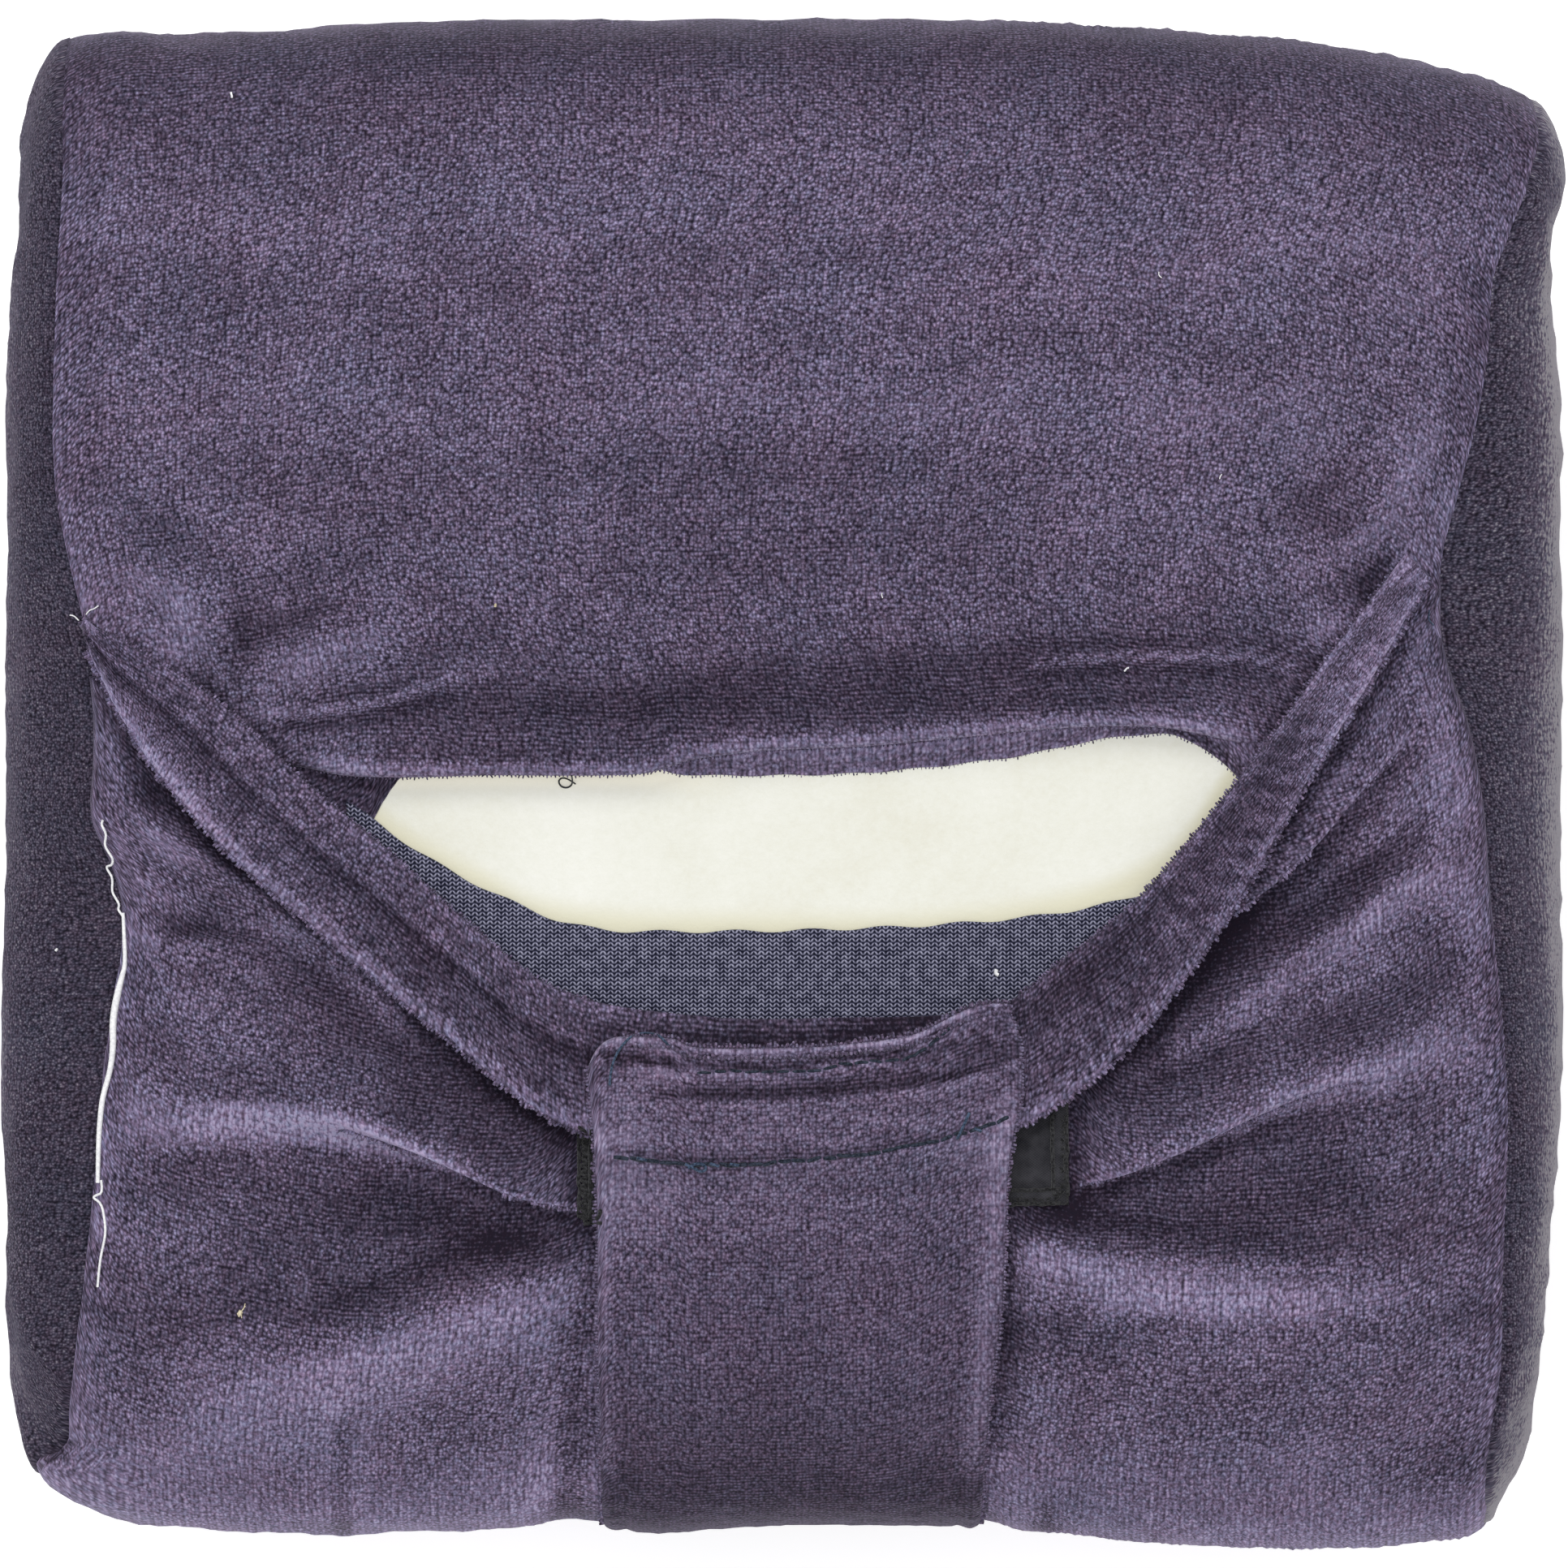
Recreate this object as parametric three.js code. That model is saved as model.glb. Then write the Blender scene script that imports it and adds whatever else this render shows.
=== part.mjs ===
// Knee pillow: a foam block in a plush cover whose front is an envelope. The cover is one long strip that
// starts at the hem over the mouth, runs round the top end, the back and the bottom end, and comes up
// again as the pleated lower front. Two side panels, a folded neck band, a strap and a patch finish it.
// It lies on its back: +Z is out of the front, +Y is towards the top end. Millimetres.
import * as THREE from "three";

// Driving dimensions
const frontHeight = 98; // crest of the front above the surface that the back lies on
const middleHeight = 48; // height of the side panels' widest line
const backHalf = 52; // middle to back before the back is pressed flat
const backSeamReach = 110; // half the width of the back
const frontSquareness = 4.5; // power of the rounded section towards the front
const backSquareness = 6; // and towards the back
const saddleDepth = 6; // how far the front dips across its middle
const saddleCentre = -15;
const saddleLength = 42;
const edgeDrop = 5; // how far the front falls towards the side seams
const clothThick = 1.8; // velour with its pile
const seamGap = 0.6;
const foamInset = 2.9; // foam surface under the outer face of the cover
const foamSideShare = 0.0125; // share of the width that the foam's flat part stays back from each seam
const overlapLift = 2.2; // lower front over the facing and the upper front
const hemLift = 2.5; // how far the mouth's hem stands off the foam
const facingTop = -0.7;
const facingThick = 1.2;
const patchLift = 2.5;
const patchThick = 0.7;
const bandThick = 2.8; // folded band, two plies
const bandLift = { inner: 0.8, outer: 3.8 }; // underside at the mouth edge and at the fold
const strapThick = 1.8;
const strapLift = { overBand: 7, overPanel: 3.7, atEnd: 0.5 };
const strapEndHeight = 12; // the strap's sewn end on the bottom face
const nominalSeam = { left: -107, right: 111 };

// Stretches over which a shape comes in, each from its start to its full effect
const seamTurn = { from: 20, to: 84 }; // height over which the back seam's line becomes the front's
const mouthLeft = { from: -66, to: -48 };
const mouthRight = { from: 54, to: 66 };
const hemRoll = { from: 22, to: 3 };
const upperFolds = { from: 2, to: 10 };
const overUpper = { from: -28, to: -12 }; // the lower front lies over the upper front
const overFacing = { from: -100, to: -80 }; // and over the facing
const nearSeam = { from: 0.8, to: 0.98 };
const frontFace = { from: 60, to: 80 };
const foldStart = { from: -6, to: 6 };
const foldEnd = { from: -2, to: 14 };
const bandRise = { from: 0, to: 0.45 }; // share of the band's width
const strapLanding = { from: -104, to: -84 };
const strapStep = { from: -61, to: -54 }; // where the strap climbs onto the band
const strapShadow = { left: { from: -41, to: -34 }, right: { from: 48.5, to: 55.5 } }; // no folds between

const colour = {
  velour: 0x5f556c,
  velourSide: 0x3f3a49,
  foam: 0xf2f2ea,
  knit: 0x5a596d,
  patch: 0x2c2b30,
};

// Side seams of the front, measured along the length
const frontSeams = [
  { y: -100, left: -106, right: 105 },
  { y: -88, left: -104, right: 106.7 },
  { y: -76, left: -101.8, right: 107 },
  { y: -64, left: -101.5, right: 107 },
  { y: -46, left: -99.7, right: 107 },
  { y: -20, left: -98, right: 104.6 },
  { y: -4, left: -101, right: 103.7 },
  { y: 8, left: -100.3, right: 100 },
  { y: 21, left: -103.3, right: 95.9 },
  { y: 34, left: -106.3, right: 98 },
  { y: 44, left: -108.5, right: 101.3 },
  { y: 60, left: -108, right: 105.8 },
  { y: 76, left: -107.5, right: 109.7 },
  { y: 90, left: -106.6, right: 112 },
  { y: 100, left: -107, right: 113.5 },
];

// Widest line of the side panels
const sideLines = [
  { y: -103, left: -115, right: 110.5 },
  { y: -93, left: -117, right: 113.2 },
  { y: -78, left: -118.4, right: 116.2 },
  { y: -41, left: -119, right: 118.4 },
  { y: 8, left: -118.6, right: 118.7 },
  { y: 45, left: -118, right: 117.8 },
  { y: 78, left: -117, right: 116.6 },
  { y: 88, left: -116.6, right: 118.7 },
  { y: 98, left: -116, right: 119 },
];

// Top and bottom ends across the width
const endLines = [
  { x: -106, top: 114.6, bottom: -109.8 },
  { x: -94, top: 113.8, bottom: -112.6 },
  { x: -68, top: 115.4, bottom: -114.6 },
  { x: -34, top: 116.9, bottom: -112 },
  { x: 0, top: 116.9, bottom: -112.5 },
  { x: 36, top: 116.2, bottom: -113.6 },
  { x: 66, top: 114, bottom: -116 },
  { x: 85, top: 110.3, bottom: -116.3 },
  { x: 103, top: 107.2, bottom: -115.3 },
  { x: 111, top: 104, bottom: -109 },
];

// The mouth: the upper front's hem, the facing's edge and the lower front's edge, across the width
const mouthLines = [
  { x: -103, hem: 2, facing: -6, panel: 16 },
  { x: -83, hem: 1.5, facing: -6, panel: 0 },
  { x: -66, hem: 1, facing: -8, panel: -15 },
  { x: -54, hem: 1, facing: -13, panel: -25 },
  { x: -40, hem: 1, facing: -18, panel: -36 },
  { x: -28, hem: 1, facing: -21.5, panel: -42 },
  { x: 0, hem: 1, facing: -22, panel: -44 },
  { x: 20, hem: 2.5, facing: -22, panel: -43.5 },
  { x: 34, hem: 4.3, facing: -20.5, panel: -41 },
  { x: 46, hem: 6.5, facing: -18, panel: -33 },
  { x: 57, hem: 7, facing: -15, panel: -22 },
  { x: 68, hem: 2.5, facing: -12, panel: -8 },
  { x: 76, hem: 2.5, facing: -12, panel: 5 },
  { x: 86, hem: 3.5, facing: -12, panel: 19 },
  { x: 95, hem: 5, facing: -12, panel: 29 },
];

// Neck band from the left seam round the mouth to the right seam: mouth edge and fold edge
const bandLines = [
  { mouthX: -103, mouthY: 23.5, foldX: -102.6, foldY: 19 },
  { mouthX: -97, mouthY: 19.5, foldX: -98.5, foldY: 10 },
  { mouthX: -86, mouthY: 12, foldX: -92, foldY: 1 },
  { mouthX: -70, mouthY: 0.5, foldX: -80, foldY: -12 },
  { mouthX: -56, mouthY: -10, foldX: -65.5, foldY: -24.5 },
  { mouthX: -44, mouthY: -19.5, foldX: -50, foldY: -36.5 },
  { mouthX: -29, mouthY: -33.5, foldX: -33, foldY: -49 },
  { mouthX: -12, mouthY: -34.5, foldX: -14, foldY: -53 },
  { mouthX: 8, mouthY: -34.5, foldX: 10, foldY: -53.5 },
  { mouthX: 31, mouthY: -33.5, foldX: 31, foldY: -51 },
  { mouthX: 43.5, mouthY: -25, foldX: 47, foldY: -41.5 },
  { mouthX: 53, mouthY: -17, foldX: 59, foldY: -29.5 },
  { mouthX: 62, mouthY: -5, foldX: 70, foldY: -14 },
  { mouthX: 72, mouthY: 7.5, foldX: 79, foldY: 2 },
  { mouthX: 82, mouthY: 21, foldX: 88.5, foldY: 16.5 },
  { mouthX: 93, mouthY: 34, foldX: 95, foldY: 30.5 },
];

// Folds of the fronts: each runs from an inner to an outer point and falls away on its two long sides
const folds = [
  { part: "lower", innerX: -37, innerY: -60, outerX: -93, outerY: -48, lift: 5, above: 13, below: 4 },
  { part: "lower", innerX: -35, innerY: -73, outerX: -88, outerY: -98, lift: 3, above: 8, below: 16 },
  { part: "lower", innerX: -48, innerY: -45, outerX: -92, outerY: -20, lift: 2, above: 7, below: 7 },
  { part: "lower", innerX: 49, innerY: -57, outerX: 94, outerY: -35, lift: 5, above: 12, below: 4 },
  { part: "lower", innerX: 60, innerY: -33, outerX: 94, outerY: 10, lift: 3, above: 6, below: 3 },
  { part: "lower", innerX: 60, innerY: -38, outerX: 98, outerY: -22, lift: 2, above: 7, below: 6 },
  { part: "lower", innerX: 44, innerY: -68, outerX: 98, outerY: -71, lift: 3, above: 7, below: 14 },
  { part: "upper", innerX: -86, innerY: 24, outerX: -94, outerY: 44, lift: 2.5, above: 7, below: 7 },
  { part: "upper", innerX: -70, innerY: 15, outerX: -82, outerY: 30, lift: 2.5, above: 6, below: 5 },
  { part: "upper", innerX: 80, innerY: 34, outerX: 86, outerY: 52, lift: 2, above: 5, below: 5 },
];

// Strap: side edges down its length, and its sewn top edge across
const strapSides = [
  { y: -125, left: -27, right: 29.3 },
  { y: -108, left: -27.1, right: 29.5 },
  { y: -88, left: -27.4, right: 30 },
  { y: -76, left: -27.5, right: 32.2 },
  { y: -58, left: -28.2, right: 33.5 },
  { y: -48, left: -28.5, right: 34.1 },
  { y: -30, left: -26.5, right: 34 },
];
const strapTopEdge = [
  { x: -27, y: -39 },
  { x: -16, y: -39.6 },
  { x: 4, y: -39.2 },
  { x: 16, y: -36.2 },
  { x: 25, y: -33.3 },
  { x: 34, y: -33 },
];
const patchOutline = { left: -30, right: 42.5, top: -44, bottom: -64 };
const facingOutline = { left: -64, right: 60, bottom: -58 };
const bandWidthSteps = [0, 0.25, 0.5, 0.8, 1];
const bandEdgeShare = 0.6; // the band's edges are thinner than its middle

const wrapColumns = 22;
const wrapRows = [11, 9, 4, 9, 24]; // upper front, top end, back, bottom end, lower front
const loopRows = [9, 4, 9, 20]; // top end, back, bottom end, whole front
const foamStations = 11;
const sideRings = [0, 3, 7, 14, 28];
const sideRounding = 5;

const quarterTurn = Math.PI / 2;
const eighthTurn = Math.PI / 4;
const backFlat = Math.asin((middleHeight / backHalf) ** (backSquareness / 2)); // where the flat back starts
const fullTurn = Math.PI * 2;
const cornerAngles = [eighthTurn, -backFlat, backFlat - Math.PI, -5 * eighthTurn];

// Small arithmetic
const clamp = (value, low, high) => Math.min(high, Math.max(low, value));
const mix = (from, to, share) => from + (to - from) * share;
const signedPower = (value, power) => Math.sign(value) * Math.abs(value) ** power;

// 0 before the stretch, 1 past it, smooth between
function ease(stretch, value) {
  const share = clamp((value - stretch.from) / (stretch.to - stretch.from), 0, 1);
  return share * share * (3 - 2 * share);
}

// A smooth curve through one column of a table whose rows rise along key
function lookup(table, key, column, at) {
  const last = table.length - 1;
  const place = clamp(at, table[0][key], table[last][key]);
  let row = 0;
  while (row < last - 1 && table[row + 1][key] < place) row += 1;
  const slope = (index) => {
    const before = table[Math.max(0, index - 1)];
    const after = table[Math.min(last, index + 1)];
    return (after[column] - before[column]) / (after[key] - before[key]);
  };
  const from = table[row];
  const to = table[row + 1];
  const step = to[key] - from[key];
  const t = (place - from[key]) / step;
  const straight = mix(from[column], to[column], t * t * (3 - 2 * t));
  const leave = slope(row) * step * t * (1 - t) * (1 - t);
  const arrive = slope(row + 1) * step * t * t * (1 - t);
  return straight + leave - arrive;
}

// Side seam at a place on the pillow: the front's own line, easing to the straight back seam
function seamX(side, y, z) {
  const front = lookup(frontSeams, "y", side < 0 ? "left" : "right", y);
  return mix(side * backSeamReach, front, ease(seamTurn, z));
}

// The lengthwise section: angle 90 degrees is the front, 0 the top end, -90 the back, -180 the bottom end
function sectionPoint(across, angle) {
  const x = mix(nominalSeam.left, nominalSeam.right, across);
  const top = lookup(endLines, "x", "top", x);
  const bottom = lookup(endLines, "x", "bottom", x);
  const isFront = Math.sin(angle) >= 0;
  const power = 2 / (isFront ? frontSquareness : backSquareness);
  const y = (top + bottom) / 2 + ((top - bottom) / 2) * signedPower(Math.cos(angle), power);
  const frontHalf = frontHeight - middleHeight - edgeDrop * Math.abs(2 * across - 1) ** 5;
  const half = isFront ? frontHalf : backHalf;
  let z = middleHeight + half * signedPower(Math.sin(angle), power);
  const dip = saddleDepth * Math.exp(-(((y - saddleCentre) / saddleLength) ** 2));
  z -= dip * ease({ from: middleHeight, to: frontHeight }, z);
  return { y, z: Math.max(z, 0) };
}

// A point of the cover, lifted off its outer face by lift
function coverPoint(across, angle, lift) {
  const here = sectionPoint(across, angle);
  const before = sectionPoint(across, angle + 0.01);
  const after = sectionPoint(across, angle - 0.01);
  const alongY = after.y - before.y;
  const alongZ = after.z - before.z;
  const length = Math.hypot(alongY, alongZ);
  const x = mix(seamX(-1, here.y, here.z), seamX(1, here.y, here.z), across);
  return new THREE.Vector3(x, here.y - (alongZ / length) * lift, here.z + (alongY / length) * lift);
}

// The angle at which the front passes a given y
function frontAngle(across, y) {
  let low = 0;
  let high = Math.PI;
  for (let step = 0; step < 40; step += 1) {
    const middle = (low + high) / 2;
    if (sectionPoint(across, middle).y > y) low = middle;
    else high = middle;
  }
  return (low + high) / 2;
}

// The angle at which a column of the cover meets one of the mouth's lines
function mouthAngle(across, line) {
  let y = 0;
  for (let step = 0; step < 8; step += 1) {
    const x = mix(seamX(-1, y, frontHeight), seamX(1, y, frontHeight), across);
    y = mix(y, lookup(mouthLines, "x", line, x), 0.7);
  }
  return frontAngle(across, y);
}

// A point of the cover at a given x, for the pieces that lie on it
function pointAtX(x, angleOf, lift) {
  let across = (x - nominalSeam.left) / (nominalSeam.right - nominalSeam.left);
  let point;
  for (let step = 0; step < 4; step += 1) {
    point = coverPoint(across, angleOf(across), lift);
    across += (x - point.x) / (nominalSeam.right - nominalSeam.left);
  }
  return point;
}

const frontPoint = (x, y, lift) => pointAtX(x, (across) => frontAngle(across, y), lift);

// How far the folds of one part stand up at a point
function foldLift(part, x, y) {
  let total = 0;
  for (const fold of folds.filter((entry) => entry.part === part)) {
    const runX = fold.outerX - fold.innerX;
    const runY = fold.outerY - fold.innerY;
    const length = Math.hypot(runX, runY);
    const along = ((x - fold.innerX) * runX + (y - fold.innerY) * runY) / length;
    const sideways = ((y - fold.innerY) * runX - (x - fold.innerX) * runY) / length;
    const aside = sideways * Math.sign(runX);
    const width = aside > 0 ? fold.above : fold.below;
    const ends = ease(foldStart, along) * ease(foldEnd, length - along);
    total += fold.lift * ends * ease({ from: width, to: 0 }, Math.abs(aside));
  }
  const underStrap = ease(strapShadow.left, x) * (1 - ease(strapShadow.right, x));
  return total * (part === "lower" ? 1 - underStrap : 1);
}

function upperLift(x, y) {
  const inMouth = ease(mouthLeft, x) * (1 - ease(mouthRight, x));
  return hemLift * inMouth * ease(hemRoll, y) + foldLift("upper", x, y) * ease(upperFolds, y);
}

function lowerLift(x, y, z, across) {
  const atSeam = Math.abs(2 * across - 1);
  const onFacing = ease(overFacing, y) * (1 - ease(nearSeam, atSeam));
  const stacked = overlapLift * Math.max(ease(overUpper, y), onFacing);
  return (stacked + foldLift("lower", x, y)) * ease(frontFace, z);
}

// Closed solid between two grids of points that share their rows and columns
function sheetSolid(columns, rows, outerAt, innerAt) {
  const points = [];
  const faces = [];
  const index = (layer, column, row) => (layer * (rows + 1) + row) * (columns + 1) + column;
  for (const pointAt of [outerAt, innerAt]) {
    for (let row = 0; row <= rows; row += 1) {
      for (let column = 0; column <= columns; column += 1) {
        points.push(...pointAt(column, row).toArray());
      }
    }
  }
  const quad = (a, b, c, d) => faces.push(a, b, c, a, c, d);
  for (let row = 0; row < rows; row += 1) {
    for (let column = 0; column < columns; column += 1) {
      const [outer, inner] = [0, 1].map((layer) => [
        index(layer, column, row),
        index(layer, column + 1, row),
        index(layer, column + 1, row + 1),
        index(layer, column, row + 1),
      ]);
      quad(outer[3], outer[2], outer[1], outer[0]);
      quad(...inner);
    }
  }
  for (let row = 0; row < rows; row += 1) {
    quad(index(0, 0, row), index(1, 0, row), index(1, 0, row + 1), index(0, 0, row + 1));
    const end = columns;
    quad(index(0, end, row + 1), index(1, end, row + 1), index(1, end, row), index(0, end, row));
  }
  for (let column = 0; column < columns; column += 1) {
    quad(index(0, column + 1, 0), index(1, column + 1, 0), index(1, column, 0), index(0, column, 0));
    const end = rows;
    quad(index(0, column, end), index(1, column, end), index(1, column + 1, end), index(0, column + 1, end));
  }
  return indexedGeometry(points, faces);
}

function indexedGeometry(points, faces) {
  const geometry = new THREE.BufferGeometry();
  geometry.setAttribute("position", new THREE.Float32BufferAttribute(points, 3));
  geometry.setIndex(faces);
  geometry.computeVertexNormals();
  return geometry;
}

// Angles that cut a stretch of the section into steps of equal length
function equalSteps(across, from, to, steps) {
  const samples = 120;
  const angles = [from];
  const lengths = [0];
  let before = sectionPoint(across, from);
  for (let sample = 1; sample <= samples; sample += 1) {
    const angle = mix(from, to, sample / samples);
    const here = sectionPoint(across, angle);
    lengths.push(lengths[sample - 1] + Math.hypot(here.y - before.y, here.z - before.z));
    angles.push(angle);
    before = here;
  }
  const result = [];
  for (let step = 0; step < steps; step += 1) {
    const wanted = (lengths[samples] * step) / steps;
    let sample = 1;
    while (lengths[sample] < wanted) sample += 1;
    const share = (wanted - lengths[sample - 1]) / (lengths[sample] - lengths[sample - 1] || 1);
    result.push(mix(angles[sample - 1], angles[sample], share));
  }
  return result;
}

// One strip from the mouth's hem round the pillow to the lower front's top edge
function coverWrap() {
  const acrossAt = (column) => 1 - column / wrapColumns;
  const rowAngles = [];
  for (let column = 0; column <= wrapColumns; column += 1) {
    const across = acrossAt(column);
    const start = mouthAngle(across, "hem");
    const end = mouthAngle(across, "panel") - fullTurn;
    const stops = [start, ...cornerAngles, end];
    const angles = wrapRows.flatMap((rows, part) => equalSteps(across, stops[part], stops[part + 1], rows));
    rowAngles.push([...angles, end]);
  }
  const rows = rowAngles[0].length - 1;
  const liftAt = (column, row) => {
    const across = acrossAt(column);
    const point = coverPoint(across, rowAngles[column][row], 0);
    if (row <= wrapRows[0]) return upperLift(point.x, point.y);
    return row >= rows - wrapRows[4] ? lowerLift(point.x, point.y, point.z, across) : 0;
  };
  const pointAt = (drop) => (column, row) =>
    coverPoint(acrossAt(column), rowAngles[column][row], liftAt(column, row) - drop);
  return sheetSolid(wrapColumns, rows, pointAt(0), pointAt(clothThick));
}

// The rounded side: rings from the seam inwards, bulging to the widest line
function sidePoint(side, angle, ring) {
  const across = side < 0 ? 0 : 1;
  const rim = coverPoint(across, angle, 0);
  const end = mix(nominalSeam.left, nominalSeam.right, across);
  const top = lookup(endLines, "x", "top", end);
  const bottom = lookup(endLines, "x", "bottom", end);
  const halfLength = (top - bottom) / 2;
  const halfway = (top + bottom) / 2;
  const y = halfway + (rim.y - halfway) * (1 - ring / halfLength);
  const z = middleHeight + (rim.z - middleHeight) * (1 - ring / middleHeight);
  const widest = lookup(sideLines, "y", side < 0 ? "left" : "right", y);
  const out = 1 - (1 - ring / middleHeight) ** sideRounding;
  return new THREE.Vector3(mix(rim.x + side * seamGap, widest, out), y, z);
}

// The same surface moved inwards by depth; its rim moves only across the seam
function insideSidePoint(side, angle, ring, depth) {
  const here = sidePoint(side, angle, ring);
  if (ring === 0) {
    const inner = coverPoint(side < 0 ? 0 : 1, angle, -depth);
    return new THREE.Vector3(here.x, inner.y, inner.z);
  }
  const around = sidePoint(side, angle + 0.02, ring).sub(sidePoint(side, angle - 0.02, ring));
  const inward = sidePoint(side, angle, ring + 0.5).sub(sidePoint(side, angle, ring - 0.5));
  const normal = around.cross(inward).normalize();
  if (normal.x * side < 0) normal.negate();
  return here.addScaledVector(normal, -depth);
}

// Rings of points joined into a closed skin, with a point at each open end
function ringSolid(rings, firstTip, lastTip, flip) {
  const points = rings.flatMap((ring) => ring.flatMap((point) => point.toArray()));
  const count = rings[0].length;
  const faces = [];
  const triangle = (a, b, c) => (flip ? faces.push(a, c, b) : faces.push(a, b, c));
  for (let ring = 0; ring < rings.length - 1; ring += 1) {
    for (let spot = 0; spot < count; spot += 1) {
      const next = (spot + 1) % count;
      const [a, b] = [ring * count + spot, ring * count + next];
      const [c, d] = [a + count, b + count];
      triangle(a, b, d);
      triangle(a, d, c);
    }
  }
  const firstIndex = points.length / 3;
  points.push(...firstTip.toArray(), ...lastTip.toArray());
  const lastRing = (rings.length - 1) * count;
  for (let spot = 0; spot < count; spot += 1) {
    const next = (spot + 1) % count;
    triangle(firstIndex, next, spot);
    triangle(firstIndex + 1, lastRing + spot, lastRing + next);
  }
  return indexedGeometry(points, faces);
}

function loopAngles(across) {
  const stops = [...cornerAngles, eighthTurn - fullTurn];
  return loopRows.flatMap((rows, part) => equalSteps(across, stops[part], stops[part + 1], rows));
}

function sidePanel(side) {
  const angles = loopAngles(side < 0 ? 0 : 1);
  const outer = sideRings.map((ring) => angles.map((angle) => sidePoint(side, angle, ring)));
  const inner = sideRings.map((ring) => angles.map((angle) => insideSidePoint(side, angle, ring, clothThick)));
  const tip = sidePoint(side, quarterTurn, middleHeight);
  tip.y = 0;
  const innerTip = tip.clone().setX(tip.x - side * clothThick);
  return ringSolid([...outer.reverse(), ...inner], tip, innerTip, side < 0);
}

function foamCore() {
  const angles = loopAngles(0.5);
  const cap = (side) =>
    sideRings.slice(1).map((ring) => angles.map((angle) => insideSidePoint(side, angle, ring, foamInset)));
  const body = [];
  for (let station = 0; station <= foamStations; station += 1) {
    const across = mix(foamSideShare, 1 - foamSideShare, station / foamStations);
    body.push(angles.map((angle) => coverPoint(across, angle, -foamInset)));
  }
  const tipAt = (side) => {
    const tip = sidePoint(side, quarterTurn, middleHeight);
    return new THREE.Vector3(tip.x - side * foamInset, 0, tip.z);
  };
  return ringSolid([...cap(-1).reverse(), ...body, ...cap(1)], tipAt(-1), tipAt(1), true);
}

// Knit-side-out facing between the foam and the band
function innerFacing() {
  const columns = 18;
  const rows = 5;
  const pointAt = (lift) => (column, row) => {
    const x = mix(facingOutline.left, facingOutline.right, column / columns);
    const y = mix(lookup(mouthLines, "x", "facing", x), facingOutline.bottom, row / rows);
    return frontPoint(x, y, lift);
  };
  return sheetSolid(columns, rows, pointAt(facingTop), pointAt(facingTop - facingThick));
}

function neckBand() {
  const steps = 34;
  const spacing = bandLines.map((row, index) => ({ ...row, index }));
  const pointAt = (thickness) => (column, row) => {
    const place = (column / steps) * (bandLines.length - 1);
    const share = bandWidthSteps[row];
    const x = mix(lookup(spacing, "index", "mouthX", place), lookup(spacing, "index", "foldX", place), share);
    const y = mix(lookup(spacing, "index", "mouthY", place), lookup(spacing, "index", "foldY", place), share);
    const underside = mix(bandLift.inner, bandLift.outer, ease(bandRise, share));
    const rounding = share === 1 || share === 0 ? bandEdgeShare : 1;
    return frontPoint(x, y, underside + thickness * rounding);
  };
  return sheetSolid(steps, bandWidthSteps.length - 1, pointAt(bandThick), pointAt(0));
}

function strap() {
  const columns = 7;
  const rows = 22;
  const endAngle = (across) => {
    let low = Math.PI;
    let high = Math.PI * 1.5;
    for (let step = 0; step < 40; step += 1) {
      const middle = (low + high) / 2;
      if (sectionPoint(across, middle).z > strapEndHeight) low = middle;
      else high = middle;
    }
    return low;
  };
  const pointAt = (thickness) => (column, row) => {
    const share = column / columns;
    const topX = mix(strapTopEdge[0].x, strapTopEdge.at(-1).x, share);
    const top = lookup(strapTopEdge, "x", "y", topX);
    const across = (topX - nominalSeam.left) / (nominalSeam.right - nominalSeam.left);
    const start = frontAngle(across, top);
    const stop = endAngle(across);
    const angle = [...equalSteps(across, start, stop, rows), stop][row];
    const here = sectionPoint(across, angle);
    const left = lookup(strapSides, "y", "left", here.y);
    const right = lookup(strapSides, "y", "right", here.y);
    const onPanel = mix(strapLift.atEnd, strapLift.overPanel, ease(strapLanding, here.y));
    const underside = mix(onPanel, strapLift.overBand, ease(strapStep, here.y));
    return pointAtX(mix(left, right, share), () => angle, underside + thickness);
  };
  return sheetSolid(columns, rows, pointAt(strapThick), pointAt(0));
}

function patch() {
  const columns = 8;
  const rows = 3;
  const { left, right, top, bottom } = patchOutline;
  const pointAt = (lift) => (column, row) =>
    frontPoint(mix(left, right, column / columns), mix(top, bottom, row / rows), lift);
  return sheetSolid(columns, rows, pointAt(patchLift + patchThick), pointAt(patchLift));
}

function makePiece(name, geometry, hex, roughness) {
  const material = new THREE.MeshStandardMaterial({ color: hex, roughness, metalness: 0 });
  const mesh = new THREE.Mesh(geometry, material);
  mesh.name = name;
  return mesh;
}

const pillow = new THREE.Group();
pillow.add(makePiece("foam_core", foamCore(), colour.foam, 0.95));
pillow.add(makePiece("cover_wrap", coverWrap(), colour.velour, 0.9));
pillow.add(makePiece("side_panel_left", sidePanel(-1), colour.velourSide, 0.9));
pillow.add(makePiece("side_panel_right", sidePanel(1), colour.velourSide, 0.9));
pillow.add(makePiece("inner_facing", innerFacing(), colour.knit, 0.85));
pillow.add(makePiece("neck_band", neckBand(), colour.velour, 0.9));
pillow.add(makePiece("patch", patch(), colour.patch, 0.8));
pillow.add(makePiece("strap", strap(), colour.velour, 0.9));

// The origin goes under the middle of the pillow, on the surface it lies on
const middle = new THREE.Box3().setFromObject(pillow).getCenter(new THREE.Vector3());
pillow.position.set(-middle.x, -middle.y, 0);

export default pillow;
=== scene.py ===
# Knee pillow: a foam block in a dusty purple velour cover, lying on its back, seen straight onto its front.
# Lengths in the dictionaries are millimetres; x is to the right, y to the top end, z out of the front.
import math

import bmesh
import bpy
import numpy as np
from mathutils import Matrix, Vector
from mathutils.bvhtree import BVHTree


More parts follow.
